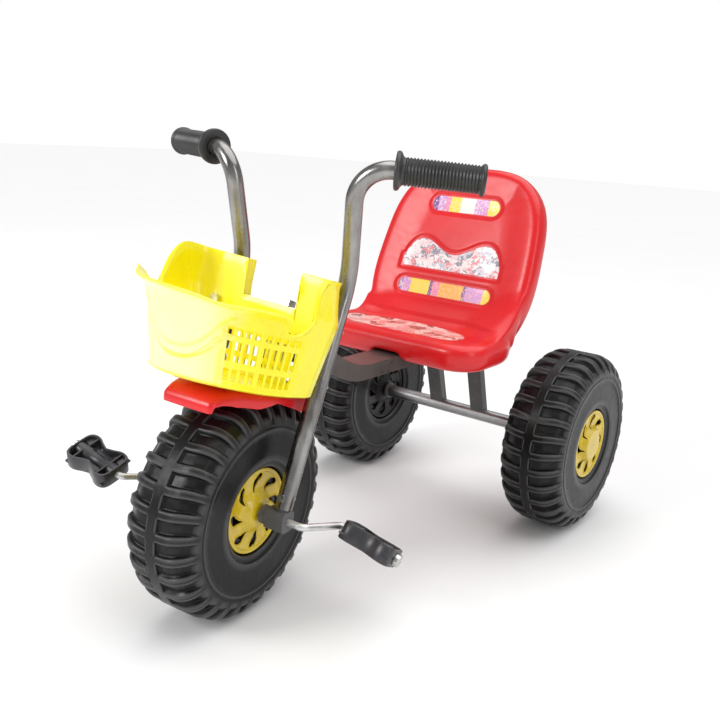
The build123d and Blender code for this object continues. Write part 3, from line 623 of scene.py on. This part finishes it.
def wall_columns():
    """Columns of the wall: ("side", share of the side curve, run) or ("back", x, run)."""
    curve = spline_through(side_curve(PLAN_LEVEL), 400, mirrored=True)
    whole = float(np.linalg.norm(np.diff(curve, axis=0), axis=1).sum())
    places = [p + s * SLOT_W / 2 for p in SIDE_SLOTS for s in (-1, 1)]
    places += list(np.arange(0, 50, 3.1)) + [83.2] + list(np.arange(126.5, whole - 1, 2.6)) + [whole]
    columns = [("side", p / whole, p) for p in sorted(places)]
    fixed = [p + s * SLOT_W / 2 for p in BACK_SLOTS for s in (-1, 1)]
    fixed += [EAR_INNER_X + 0.15, EAR_INNER_X - 0.15, 0.0]
    columns += [("back", x, whole + 70 - x) for x in sorted(fixed, reverse=True)]
    return columns


def wall_point(column, level):
    """A point on the wall's outside, before its relief."""
    kind, value, _ = column
    if kind == "side":
        x, y = spline_through(side_curve(level), np.array([value]), mirrored=True)[0]
    else:
        x, y = value, BASKET_BACK
    return np.array([x, y, level])


def rim_height(x, y, far):
    """The height of the rim above a point of the plan; far is 1 on the rider's right."""
    side = np.interp(y, [-123, -120, -117, -113.5, -109, -103, -98, -92, -86, -83, -78.5, -72, -65, -57],
                     [216, 214, 209, 201, 197.5, 197.5, 200, 207, 217, 228, 244, 252.5, 257, EAR_TOP])
    ear = EAR_TOP if abs(x) > EAR_INNER_X else GAP_SILL
    if y < -122:
        raised = 8.0 * math.exp(-((abs(x) - 76.0) / 15.0) ** 2) if far else 0.0
        return BASKET_RIM - 3.0 * math.exp(-((abs(x) - 46.0) / 22.0) ** 2) * (1 - far) + raised
    return ear if y > BASKET_BACK - 1.0 else float(side)


def top_level(column, far):
    """Where a column of the wall meets the rim."""
    level = 225.0
    for _ in range(24):
        x, y, _ = wall_point(column, level)
        level += 0.5 * (rim_height(x, y, far) - level)
    return level


def wall_levels():
    """The heights of the rows under the notch, with a row on every edge of a slot."""
    edges = [BASKET_FLOOR] + [z for row in SLOT_ROWS for z in row]
    between = np.arange(BASKET_FLOOR + 1.6, SLOT_ROWS[-1][1], 2.6)
    return sorted(edges + [z for z in between if min(abs(z - e) for e in edges) > 1.0])


# the bulging panel in front: its lowest level and half its width at the rim, along the wall
BIB_FOOT = 156.0
BIB_HALF = 61.0
# the recesses that hold the side slots: where along the wall one starts, is deep, ends and is last deep,
# and the crown, fall and half width of its arched top
RECESS_TOP = 203.0
RECESSES = ((46.5, 49.0, 84.8, 82.8, 66.0, 10.0, 18.0), (83.2, 85.2, 129.0, 126.5, 105.0, 8.0, 22.0))


def wall_relief(place, z, y, top):
    """How far a column of the wall stands out at heights z."""
    # the bib: a bulging panel inside a U-shaped ridge in front
    from_u = z - (BIB_FOOT + (BASKET_RIM - BIB_FOOT) * (place / BIB_HALF) ** 2.4)
    bulge = 3.4 * smoothstep(-3.0, 8.0, from_u) * smoothstep(66.0, 54.0, place)
    ridge = 2.8 * np.exp(-((from_u + 2.5) / 3.0) ** 2) * smoothstep(72.0, 60.0, place)
    panel = 0.0
    for start, full, end, ease, crown, fall, half in RECESSES:
        arch = RECESS_TOP - fall * ((place - crown) / half) ** 2
        across = smoothstep(start, full, place) * smoothstep(end, ease, place)
        panel = panel + across * smoothstep(arch + 2, arch - 2, z)
    recess = -1.6 * np.clip(panel, 0, 1) * smoothstep(134.0, 137.5, z)
    # the rim: a wide lip in front, a narrow one along the notches and ears
    front = float(smoothstep(-112.0, -122.0, y))
    back = float(smoothstep(-40.0, -30.0, y))
    lip = 9.5 * smoothstep(9.5, 0.0, top - z) ** 1.3 * front
    bead = (2.6 * (1 - back) + 0.6) * smoothstep(7.0, 0.0, top - z) ** 1.2 * (1 - front)
    return bulge + ridge + recess + lip + bead


def wall_half(columns, levels, far):
    """The grid of wall points on one half: columns of rows, with the relief on."""
    raw = []
    for column in columns:
        top = top_level(column, far)
        climb = (np.arange(1, ROWS_ABOVE + 1) / ROWS_ABOVE) ** 0.9
        rows = levels + list(levels[-1] + (top - levels[-1]) * climb)
        raw.append([wall_point(column, level) for level in rows])
    raw = np.array(raw)
    run = np.empty_like(raw)
    run[1:-1] = raw[2:] - raw[:-2]
    run[0] = raw[1] - raw[0] * [-1, 1, 1]
    run[-1] = [-1, 0, 0]
    size = np.linalg.norm(run[:, :, :2], axis=2)[:, :, None] + 1e-9
    out = np.dstack([run[:, :, 1], -run[:, :, 0]]) / size
    shaped = raw.copy()
    for k, column in enumerate(columns):
        relief = wall_relief(column[2], raw[k, :, 2], raw[k, -1, 1], raw[k, -1, 2])
        shaped[k, :, :2] += relief[:, None] * out[k]
    shaped[[0, -1], :, 0] = 0.0
    return shaped


def is_slot(first, second):
    """Whether two neighbouring columns are the sides of a slot."""
    kind, value, place = first
    gap = place - second[2] if kind == "side" else value - second[1]
    return kind == second[0] and abs(abs(gap) - SLOT_W) < 0.01


def leaned(points):
    """The light moulding hangs a little lower, and leans a little, on the rider's left."""
    x, y, z = points.T
    return np.column_stack([x - 3.0 * smoothstep(200.0, 240.0, z) * (y > -100), y,
                            z - LEFT_DROOP * x * smoothstep(150.0, BASKET_RIM, z)])


def basket_mesh():
    """The wall and the floor as one thin shell."""
    levels, columns = wall_levels(), wall_columns()
    right = wall_half(columns, levels, 0)
    left = wall_half(columns, levels, 1)[1:-1][::-1] * np.array([-1, 1, 1])
    around = np.concatenate([right, left])
    count, rows, last = len(around), right.shape[1], len(right) - 1
    faces = []
    for face in grid_faces(count, rows, close_rows=True):
        k, j = divmod(face[0], rows)
        first = k if k < last else 2 * last - k - 1
        open_row = j < len(levels) - 1 and any(low <= levels[j] < high for low, high in SLOT_ROWS)
        plain = k >= last and columns[first][0] == "side" and columns[first][2] < FAR_SLOTS_FROM
        if plain or not open_row or not is_slot(columns[first], columns[first + 1]):
            faces.append(face)
    points = around.reshape(-1, 3)
    ring = points[::rows]
    middle = np.array([0.0, -84.0, BASKET_FLOOR])
    blocks, before = [points], range(0, len(points), rows)
    for share, drop in ((0.965, 1.2), (0.93, 2.0), (0.75, 2.0), (0.5, 2.0), (0.25, 2.0)):
        fan = middle + (ring - middle) * share
        fan[:, 2] = BASKET_FLOOR - drop
        total = sum(len(block) for block in blocks)
        blocks.append(fan)
        now = range(total, total + count)
        faces += [(before[k], now[k], now[(k + 1) % count], before[(k + 1) % count]) for k in range(count)]
        before = now
    total = sum(len(block) for block in blocks)
    blocks.append(middle[None] - np.array([[0, 0, 2.0]]))
    faces += [(before[k], total, before[(k + 1) % count]) for k in range(count)]
    tub = cleaned(new_object("basket_tub", leaned(np.vstack(blocks)), faces), facing=Vector((0, 0, -1)))
    return rounded(thickened(tub, WALL), 0.5)


def ear_flange(side):
    """The folded-back inner edge of an ear, round its fork tube."""
    top = EAR_TOP - LEFT_DROOP * side * EAR_INNER_X - 0.1
    sheet = []
    for y in np.linspace(BASKET_BACK - 1.0, BASKET_BACK + 15.0, 7):
        for z in np.linspace(GAP_SILL - 1.0, top, 9):
            sheet.append((side * (EAR_INNER_X + 1.25) - 3.0 * smoothstep(200.0, 240.0, z), y, z))
    return rounded(thickened(new_object("ear_flange", sheet, grid_faces(7, 9)), WALL, offset=0.0), 0.7)


tub = joined("basket_moulding", [basket_mesh()] + [ear_flange(side) for _, side in HANDS])
finish_piece(sharpen(moved(tub, BASKET_SPACE), 38), "fork", "basket_yellow", YELLOW, "basket")


# ---- mudguard


SKIRT_TOP = 0.6


def across_fender(width, skirt, share):
    """A point of the mudguard's cross section: x and how far it drops, for a share from -1 to 1."""
    bend = min(9.0, skirt * 0.8 + 2)
    flat = width - bend
    quarter = bend * math.pi / 2
    reach = abs(share) * (flat + quarter + max(skirt - bend, 0))
    over = reach - flat
    if over <= 0:
        x, drop = reach, SKIRT_TOP * (reach / flat) ** 2
    elif over <= quarter:
        x, drop = flat + bend * math.sin(over / bend), SKIRT_TOP + bend * (1 - math.cos(over / bend))
    else:
        x, drop = width, SKIRT_TOP + bend + over - quarter
    return math.copysign(x, share), drop


def fender():
    """The mudguard: a dipped nose, an arched top and a tail behind the fork."""
    spine = [(-80.5, 129.5), (-80.0, 137.0), (-75.5, 142.5), (-64.0, 146.5), (-44.0, 146.5), (-14.0, 139.5),
             (14.0, 133.0), (44.0, 125.0), (78.0, 113.5), (104.0, 105.0), (115.0, 100.0)]
    line = spline_through(spine, 60)
    ahead = np.gradient(line, axis=0)
    ahead /= np.linalg.norm(ahead, axis=1)[:, None]
    along = np.linspace(0, 1, len(line))
    half = np.interp(along, [0, 0.08, 0.2, 0.42, 0.6, 0.72, 0.85, 1.0], [31, 34, 40, 50, 51.5, 51, 47, 38])
    skirt = np.interp(along, [0, 0.1, 0.2, 0.35, 0.47, 0.58, 0.7, 0.8, 0.92, 1.0],
                      [2, 9, 15, 16, 9, 13, 17, 13, 7, 3])
    shares = np.linspace(-1, 1, 45)
    points = []
    for k in range(len(line)):
        for share in shares:
            x, drop = across_fender(half[k], skirt[k], share)
            points.append((x, line[k][0] + ahead[k][1] * drop, line[k][1] - ahead[k][0] * drop))
    piece = new_object("mudguard_shell", points, grid_faces(len(line), len(shares)))
    piece = rounded(thickened(cleaned(piece, facing=Vector((0, 0, 1))), 2.6), 0.9, segments=3)
    return sharpen(moved(piece, STEERED), 45)


finish_piece(fender(), "fork", "shell_red", RED, "fender")


# ---- grips

GRIP_LENGTH = 92.0
GRIP_RIBS = 22
TUBE_END = Vector((199.7, 124.1, 369.8))
TUBE_KNEE = Vector((80.6, 69.3, 370.9))


def grip(hand, side):
    """A ribbed rubber grip with a wide inner flange and a rounded closed end."""
    end = Vector((side * TUBE_END.x, TUBE_END.y, TUBE_END.z))
    knee = Vector((side * TUBE_KNEE.x, TUBE_KNEE.y, TUBE_KNEE.z))
    turn = (knee - end).to_track_quat("X", "Z").to_matrix().to_4x4()
    start, stop = 7.5, GRIP_LENGTH - 10.0
    pitch = (stop - start) / GRIP_RIBS
    profile = [(0.6, 0.2), (0.2, 6.0), (0.6, 13.6), (1.4, 15.4), (2.6, 16.3), (4.4, 16.3), (5.6, 15.4),
               (6.4, 14.6)]
    for index in range(GRIP_RIBS):
        swell = 0.35 * math.sin(math.pi * index / GRIP_RIBS)
        groove = [(0, 13.4), (0.18, 13.3)]
        rib = [(0.34, 14.1 + swell), (0.55, 14.5 + swell), (0.78, 14.1 + swell)]
        profile += [(start + (index + share) * pitch, radius) for share, radius in groove + rib]
    flange = [(10.0, 13.6), (8, 14.2), (6.5, 16.2), (5.2, 18.8), (3.8, 19.8), (1.6, 19.9), (0.3, 19.0),
              (0, 17.0), (0.2, 11.0), (1.2, 9.7), (GRIP_LENGTH - 20.0, 9.6)]
    profile += [(GRIP_LENGTH - x, radius) for x, radius in flange]
    place = STEERED @ Matrix.Translation(end) @ turn
    piece = lathe("handle_grip_" + hand, profile, place, segments=72, closed=False)
    return sharpen(cleaned(piece, fill=True), 50)


for hand, side in HANDS:
    finish_piece(grip(hand, side), "fork", "grip_rubber", GRIP, "grip_" + hand)


# ---- pedals

CRANK_LENGTH = 48.0
CRANK_TILT = math.radians(10.0)
CRANK_OUT_X = 117.0
SPINDLE_DROOP = math.radians(13.0)
PEDAL_IN = 6.0
PEDAL_L = 64.0
PEDAL_HALF_D = 23.0
PEDAL_HALF_T = 10.0
PEDAL_TILT = {1: -28.0, -1: 18.0}


def pedal_edge(grow=0.0, count=120):
    """The waisted outline of a pedal, seen from above."""
    half = PEDAL_L / 2 + grow
    angles = np.linspace(0, 2 * math.pi, count, endpoint=False)
    c, s = np.cos(angles), np.sin(angles)
    x = half * np.sign(c) * np.abs(c) ** 0.42
    waist = 9.0 * np.exp(-(x / 13.0) ** 2)
    y = (PEDAL_HALF_D + grow - waist) * np.sign(s) * np.abs(s) ** 0.42
    return np.column_stack([x, y])


def ring_wall(name, outer, inner, half_t, matrix):
    """A closed band between two outlines, with slightly rounded upper and lower edges."""
    soft = 1.0
    rows = []
    for edge, other, way in ((outer, inner, 1), (inner, outer, -1)):
        tip = edge + (other - edge) * 0.2
        for line, z in ((tip, -half_t), (edge, soft - half_t), (edge, half_t - soft), (tip, half_t)):
            rows.append(np.column_stack([line, np.full(len(line), z * way)]))
    points = np.stack(rows, axis=1).reshape(-1, 3)
    faces = grid_faces(len(outer), len(rows), close_rows=True, close_columns=True)
    return cleaned(new_object(name, points, faces, matrix), merge=True)


def slab(name, xs, ys, zs, matrix, soft):
    """A bar with rounded edges."""
    corners = [(x, y, z) for x in xs for y in sorted(ys) for z in zs]
    faces = [(0, 1, 3, 2), (4, 6, 7, 5), (0, 4, 5, 1), (2, 3, 7, 6), (0, 2, 6, 4), (1, 5, 7, 3)]
    return rounded(new_object(name, corners, faces, matrix), soft, segments=3, degrees=34.4)


def pedal(hand, side):
    """A hollow moulded pedal: a waisted rim, a spindle barrel, a web and cross ribs."""
    reach, rise = CRANK_LENGTH * math.cos(CRANK_TILT), -CRANK_LENGTH * math.sin(CRANK_TILT)
    corner = Vector((CRANK_OUT_X, reach, rise)) * side
    half = PEDAL_L / 2
    place = (STEERED @ Matrix.Translation(corner) @ Matrix.Rotation(SPINDLE_DROOP, 4, "Y")
             @ Matrix.Translation((side * (PEDAL_IN + half), 0, 0))
             @ Matrix.Rotation(math.radians(PEDAL_TILT[side]), 4, "X"))
    name = "foot_pedal_" + hand
    barrel = [(-half + 0.4, 4.3), (-half + 0.4, 8.0), (-half + 1.2, 8.8), (-12, 8.8), (-10, 7.4), (10, 7.4),
              (12, 8.8), (half - 1.2, 8.8), (half - 0.4, 8.0), (half - 0.4, 4.3)]
    pieces = [ring_wall(name + "_rim", pedal_edge(), pedal_edge(-2.8), PEDAL_HALF_T, place),
              lathe(name + "_barrel", barrel, place, segments=40)]
    rib_y = PEDAL_HALF_D - 2.0
    for x in (-19.0, 19.0):
        pieces.append(slab(name + "_rib", (x - 1.4, x + 1.4), (-rib_y, rib_y), (-8.6, 8.6), place, 1.0))
    for row in (-1, 1):
        # each tread side is plated near its ends, and a thinner web joins the waist to the barrel
        ys, zs = (row * 8.0, row * (PEDAL_HALF_D - 1.6)), (4.2 * row - 1.3, 4.2 * row + 1.3)
        for xs in ((1.6 - half, -18.0), (18.0, half - 1.6)):
            pieces.append(slab(name + "_plate", xs, ys, zs, place, 0.6))
        web = (row * 6.0, row * (PEDAL_HALF_D - 9.6))
        pieces.append(slab(name + "_web", (-18.5, 18.5), web, (-1.4, 1.4), place, 0.6))
    return sharpen(joined(name, pieces), 40)


for hand, side in HANDS:
    finish_piece(pedal(hand, side), "pedal_" + hand, "pedal_black", PEDAL, "pedal_" + hand)


# ---- seat

SEAT_UNDER = 241.0
SEAT_TOP = 277.0
SEAT_FRONT = 33.0
SEAT_HALF_W = 131.0
BACK_LEAN = math.radians(20.7)
BACK_FOOT = np.array([0.0, REAR_AXLE_Y - 82.0, SEAT_UNDER + 22.0])
BACK_UP = np.array([0.0, math.sin(BACK_LEAN), math.cos(BACK_LEAN)])
BACK_OUT = np.array([0.0, -math.cos(BACK_LEAN), math.sin(BACK_LEAN)])
BACK_HALF_T = 18.0
BACK_LENGTH = 238.0


def shell_of(node):
    """The outer skin of a CAD node, as vertices in millimetres and faces; its hollow is left out."""
    bm = bmesh.new()
    bm.from_mesh(nodes[node].data)
    bm.transform(nodes[node].matrix_world)
    bmesh.ops.remove_doubles(bm, verts=bm.verts, dist=MERGE)
    bmesh.ops.recalc_face_normals(bm, faces=bm.faces)
    tree = BVHTree.FromBMesh(bm)
    lift = 0.05 * MM
    inner = [f for f in bm.faces if tree.ray_cast(f.calc_center_median() + f.normal * lift, f.normal)[0]]
    bmesh.ops.delete(bm, geom=inner, context="FACES")
    widest = max(bm.verts, key=lambda v: v.co.x)
    outer, queue = {widest}, [widest]
    while queue:
        vert = queue.pop()
        fresh = [edge.other_vert(vert) for edge in vert.link_edges if edge.other_vert(vert) not in outer]
        outer.update(fresh)
        queue += fresh
    bmesh.ops.delete(bm, geom=[v for v in bm.verts if v not in outer], context="VERTS")
    bmesh.ops.holes_fill(bm, edges=[e for e in bm.edges if e.is_boundary], sides=0)
    bm.verts.index_update()
    points = [v.co / MM for v in bm.verts]
    faces = [tuple(v.index for v in f.verts) for f in bm.faces]
    bm.free()
    return points, faces


def cove():
    """The soft inner corner where the back grows out of the pan, fuller towards the rider's left."""
    rise = SEAT_TOP - BACK_FOOT[2]
    face_y = BACK_FOOT[1] + rise * math.tan(BACK_LEAN) - BACK_HALF_T / math.cos(BACK_LEAN)
    corner = np.array([face_y, SEAT_TOP])
    ends = np.linspace(114, 125, 7)
    widths = np.concatenate([-ends[::-1], np.linspace(-105, 105, 22), ends])
    shares = np.linspace(0, 1, 12)[:, None]
    rows = []
    for x in widths:
        end = math.sqrt(max(1 - (max(abs(x) - 114.0, 0) / 11.5) ** 2, 0.0))
        radius = 30.0 + (34.0 if x > 0 else -4.0) * float(smoothstep(50.0, 114.0, abs(x)))
        radius *= 0.72 + 0.28 * end
        low = corner - [radius, 0.6]
        high = corner + [radius * math.sin(BACK_LEAN) + 0.6, radius * math.cos(BACK_LEAN)]
        pull = corner * 0.9 + [low[0] * 0.1, low[1] * 0.1]
        curve = (1 - shares) ** 2 * low + 2 * shares * (1 - shares) * pull + shares ** 2 * high
        ring = list(curve) + [high + [6.0, -5.0], corner + [8.0, -16.0]]
        rows += [(x, y, z) for y, z in ring]
    faces = grid_faces(len(widths), len(shares) + 2, close_columns=True)
    return cleaned(new_object("seat_cove", rows, faces), fill=True)


def seat():
    """Pan, back and cove grown into one blow-moulded skin."""
    outer = new_object("seat_skin", *shell_of("seat"))
    whole = joined("seat_moulding", [outer, cove()])
    modified(whole, "REMESH", mode="VOXEL", voxel_size=2.3 * MM, adaptivity=0.0)
    return modified(whole, "SMOOTH", factor=0.5, iterations=18)


def back_half_width(v):
    """Half of the backrest's width at a distance up its face."""
    return np.interp(v, [0, 27, 55, 90, 125, 165, 198, 216, 230, BACK_LENGTH],
                     [112, 121, 127.5, 128.5, 126, 119, 108, 94, 76, 10])


def shape_seat(piece):
    """Dishes the back and the pan and sinks the sticker panels."""
    points = np.empty(len(piece.data.vertices) * 3)
    piece.data.vertices.foreach_get("co", points)
    points = points.reshape(-1, 3) / MM
    normals = np.array([v.normal for v in piece.data.vertices])
    offset = points - BACK_FOOT
    v, q = offset @ BACK_UP, offset @ BACK_OUT
    x, y, z = points.T
    facing = smoothstep(0.25, 0.6, normals @ BACK_OUT) * (q > 6.0) * smoothstep(14.0, 44.0, v)
    edge = np.minimum(back_half_width(v) - np.abs(x), BACK_LENGTH - v)
    depth = 5.5 * smoothstep(2.0, 62.0, edge) * facing
    for panel in PANELS:
        depth += 1.7 * smoothstep(2.4, -1.0, panel_distance(panel, x, v) - 3.4) * facing
    points -= BACK_OUT * depth[:, None]
    top = smoothstep(0.4, 0.8, normals[:, 2]) * (z < SEAT_TOP + 8.0) * (q > 6.0)
    inset = np.minimum(SEAT_HALF_W - np.abs(x), y - SEAT_FRONT)
    depth = 3.6 * smoothstep(8.0, 52.0, inset) * top
    depth += 1.3 * smoothstep(2.4, -1.0, lens_distance(x, y) - 2.6) * top
    points[:, 2] -= depth
    piece.data.vertices.foreach_set("co", (points * MM).ravel())
    piece.data.shade_smooth()
    return piece


# sunk panels on the backrest: kind, height of the middle up the face, half width, half height
PANELS = (("pill", 180.0, 55.0, 11.5), ("bat", 81.5, 79.0, 44.5), ("pill", 54.0, 76.5, 10.7))
PANEL_X = -2.5
HUMP = 0.66
LENS_X, LENS_Y = -15.0, 97.0
LENS_HALF_W, LENS_HALF_D = 94.0, 35.0
FILM = 0.2
FILM_LIFT = 0.25


def panel_distance(panel, x, v):
    """Below zero inside a panel, measured on the backrest's face."""
    kind, middle, half_w, half_h = panel
    x = np.asarray(x, float) - PANEL_X
    if kind == "pill":
        reach = np.maximum(np.abs(x) - (half_w - half_h), 0)
        return np.hypot(reach, v - middle) - half_h
    # two round humps over a flat foot, with a valley between them
    share = np.clip(np.abs(x) / half_w, 0, 1)
    inner = 0.57 + 0.43 * 0.5 * (1 - np.cos(np.pi * np.clip(share / HUMP, 0, 1)))
    outer = np.sqrt(np.clip(1 - ((share - HUMP) / 0.36) ** 2, 0, 1))
    top = half_h * np.where(share < HUMP, inner, outer)
    rise = v - middle
    return np.maximum(np.maximum((rise - top) * 0.8, -rise), np.abs(x) - half_w)


def lens_distance(x, y):
    """Below zero inside the wide oval panel on the pan."""
    across = np.abs((x - LENS_X) / LENS_HALF_W)
    along = np.abs((y - LENS_Y) / LENS_HALF_D)
    return ((across ** 2.5 + along ** 2.5) ** 0.4 - 1.0) * 36.0


def sticker(name, tree, distance, start_of, direction, us, vs, look):
    """A thin film laid on the seat where distance(u, v) is below zero."""
    points, keep = [], []
    for v in vs:
        for u in us:
            start = start_of(u, v)
            place, normal, _, _ = tree.ray_cast(start, direction)
            keep.append(place is not None and float(distance(u, v)) < 0)
            points.append((place + normal * FILM_LIFT * MM if place is not None else start) / MM)
    faces = [f for f in grid_faces(len(vs), len(us)) if all(keep[i] for i in f)]
    piece = cleaned(new_object(name, points, faces), facing=-direction)
    finish_piece(thickened(piece, FILM), "frame", "shell_red", look)


def printed(n, base, scale, detail, most, top, fleck_colour):
    """Finishes a printed film: a mottled overprint on its base colours and a clear coat."""
    fleck = n.noise(scale, detail=detail, roughness=0.7)
    n.set(Base_Color=n.mix(n.span(fleck, 0.0, most, 0.52, top), base, fleck_colour))
    n.set(Roughness=n.span(fleck, 0.22, 0.38), Coat_Weight=0.25)
    n.bump(fleck, strength=0.03, distance=0.0002)
    return n.material


def banded_print(name, half_w, bands, fleck_colour):
    """A printed strip of colour blocks with a mottled overprint."""
    n = Nodes(name)
    wobble = n.maths("MULTIPLY", n.maths("SUBTRACT", n.noise(90.0), 0.5), 0.006)
    along = n.maths("ADD", n.axis("X"), wobble)
    blocks = n.ramp(n.span(along, 0.0, 1.0, -half_w * MM, half_w * MM), bands, "CONSTANT")
    return printed(n, blocks, 330.0, 4.0, 0.85, 0.60, fleck_colour)


def mottled_print(name, colours, scale, fleck_colour):
    """A printed film of small irregular patches."""
    n = Nodes(name)
    warp = n.add("ShaderNodeTexNoise", [("Scale", scale * 0.8), ("Vector", n.coords)])
    shift = n.add("ShaderNodeVectorMath", [(0, warp.outputs["Color"]), ("Scale", 0.03)], operation="SCALE")
    place = n.add("ShaderNodeVectorMath", [(0, n.coords), (1, shift.outputs["Vector"])], operation="ADD")
    patch = n.add("ShaderNodeTexVoronoi", [("Scale", scale), ("Vector", place.outputs["Vector"])])
    split = n.add("ShaderNodeSeparateColor", [("Color", patch.outputs["Color"])])
    stops = [(k / len(colours), colour) for k, colour in enumerate(colours)]
    patches = n.ramp(split.outputs["Red"], stops, "CONSTANT")
    return printed(n, patches, scale * 4.0, 5.0, 0.8, 0.62, fleck_colour)


LILAC, PLUM, SUN, AMBER = (0.62, 0.28, 0.62), (0.16, 0.05, 0.30), (0.86, 0.66, 0.03), (0.88, 0.42, 0.06)
CREAM, ROSE = (0.86, 0.80, 0.78), (0.80, 0.22, 0.42)
PRINT_TOP = banded_print("print_top", 55.0, (
    (0.0, PLUM), (0.06, LILAC), (0.17, ROSE), (0.24, SUN), (0.40, CREAM), (0.62, LILAC), (0.78, ROSE),
    (0.82, SUN),
), (0.86, 0.80, 0.66))
PRINT_LOW = banded_print("print_low", 76.5, (
    (0.0, PLUM), (0.03, LILAC), (0.12, SUN), (0.33, PLUM), (0.36, ROSE), (0.44, AMBER), (0.69, PLUM),
    (0.72, LILAC), (0.90, SUN),
), (0.90, 0.62, 0.25))
PRINT_BAT = mottled_print("print_mottled", (
    (0.86, 0.80, 0.80), (0.82, 0.72, 0.73), (0.72, 0.20, 0.22), (0.84, 0.78, 0.78), (0.20, 0.20, 0.26),
    (0.80, 0.56, 0.58), (0.45, 0.48, 0.58),
), 135.0, (0.84, 0.76, 0.76))
PRINT_PAN = mottled_print("print_pan", (
    (0.80, 0.36, 0.34), (0.84, 0.58, 0.52), (0.78, 0.30, 0.28), (0.86, 0.66, 0.60), (0.36, 0.10, 0.08),
), 70.0, (0.84, 0.46, 0.42))


def on_back(u, v):
    """A point in front of the backrest's face."""
    return Vector(BACK_FOOT + [u, 0, 0] + BACK_UP * v + BACK_OUT * 60.0) * MM


def above_pan(u, v):
    """A point above the pan."""
    return Vector((u, v, 330.0)) * MM


seat_piece = shape_seat(seat())
graph = bpy.context.evaluated_depsgraph_get()
graph.update()
seat_tree = BVHTree.FromObject(seat_piece, graph)
finish_piece(seat_piece, "frame", "shell_red", RED, "seat")
for index, (panel, look) in enumerate(zip(PANELS, (PRINT_TOP, PRINT_BAT, PRINT_LOW))):
    kind, middle, half_w, half_h = panel
    low = middle - half_h - 1 if kind == "pill" else middle - 1
    us = np.linspace(PANEL_X - half_w - 1, PANEL_X + half_w + 1, 150)
    vs = np.linspace(low, middle + half_h + 1, 56)
    sticker(f"seat_sticker_{index + 1}", seat_tree, partial(panel_distance, panel), on_back,
            Vector(-BACK_OUT), us, vs, look)
sticker("seat_sticker_4", seat_tree, lens_distance, above_pan, Vector((0, 0, -1)),
        np.linspace(-110, 80, 130), np.linspace(61, 133, 60), PRINT_PAN)


# ---- stage, light and camera

CAMERA_AT = Vector((627.6, -1117.3 + REAR_AXLE_Y, 523.1)) * MM
FLOOR_HALF = 14.0
SENSOR = 36.0
LENS = 43.06
AZIMUTH, ELEVATION, ROLL = math.radians(36.34), math.radians(14.58), math.radians(3.63)


def studio_floor():
    """A wide pale floor."""
    half = FLOOR_HALF / MM
    corners = [(-half, -half, 0), (half, -half, 0), (half, half, 0), (-half, half, 0)]
    floor = new_object("studio_floor", corners, [(0, 1, 2, 3)])
    n = Nodes("floor_pale")
    n.set(Base_Color=n.clouded(n.noise(3.0, detail=2.0), (0.86, 0.86, 0.86), (0.88, 0.88, 0.88), 0.2, 0.8))
    n.set(Roughness=0.8, Specular_IOR_Level=0.15)
    paint(floor, n.material)


def placed(name, data, matrix):
    """Puts a lamp or a camera into the scene."""
    thing = bpy.data.objects.new(name, data)
    bpy.context.scene.collection.objects.link(thing)
    thing.matrix_world = matrix
    return thing


def area_light(name, place, width, height, power):
    """A soft light aimed at the middle of the tricycle."""
    data = bpy.data.lights.new(name, "AREA")
    data.shape = "RECTANGLE"
    data.size = width
    data.size_y = height
    data.energy = power
    turn = (Vector((0, 0, 0.25)) - Vector(place)).to_track_quat("-Z", "Y").to_matrix().to_4x4()
    placed(name, data, Matrix.Translation(place) @ turn)


def surround():
    """A white surround that lights the tricycle less than it shows."""
    world = bpy.data.worlds.new("surround")
    world.use_nodes = True
    tree = world.node_tree
    background = tree.nodes["Background"]
    background.inputs["Color"].default_value = (1.0, 1.0, 1.0, 1.0)
    seen = tree.nodes.new("ShaderNodeMapRange")
    seen.inputs["To Min"].default_value = 0.42
    seen.inputs["To Max"].default_value = 1.0
    path = tree.nodes.new("ShaderNodeLightPath")
    tree.links.new(path.outputs["Is Camera Ray"], seen.inputs["Value"])
    tree.links.new(seen.outputs["Result"], background.inputs["Strength"])
    bpy.context.scene.world = world


def camera():
    """The camera, from its azimuth, elevation and roll."""
    data = bpy.data.cameras.new("camera")
    data.sensor_width = SENSOR
    data.lens = LENS
    data.clip_end = 50.0
    aim = Matrix.Rotation(AZIMUTH, 4, "Z") @ Matrix.Rotation(math.pi / 2 - ELEVATION, 4, "X")
    turn = aim @ Matrix.Rotation(ROLL, 4, "Z")
    bpy.context.scene.camera = placed("camera", data, Matrix.Translation(CAMERA_AT) @ turn)


def studio():
    """Floor, soft lights, a bright surround and the camera."""
    studio_floor()
    surround()
    bpy.context.scene.view_settings.view_transform = "Standard"
    area_light("key", (-0.9, -2.2, 1.5), 1.0, 1.0, 34)
    area_light("side", (2.4, -0.5, 1.3), 0.5, 1.8, 10)
    ceiling = bpy.data.lights.new("ceiling", "SUN")
    ceiling.energy = 2.25
    ceiling.angle = math.radians(75)
    tilt = Matrix.Rotation(math.radians(8), 4, "Y") @ Matrix.Rotation(math.radians(-12), 4, "X")
    placed("ceiling", ceiling, tilt)
    camera()


studio()
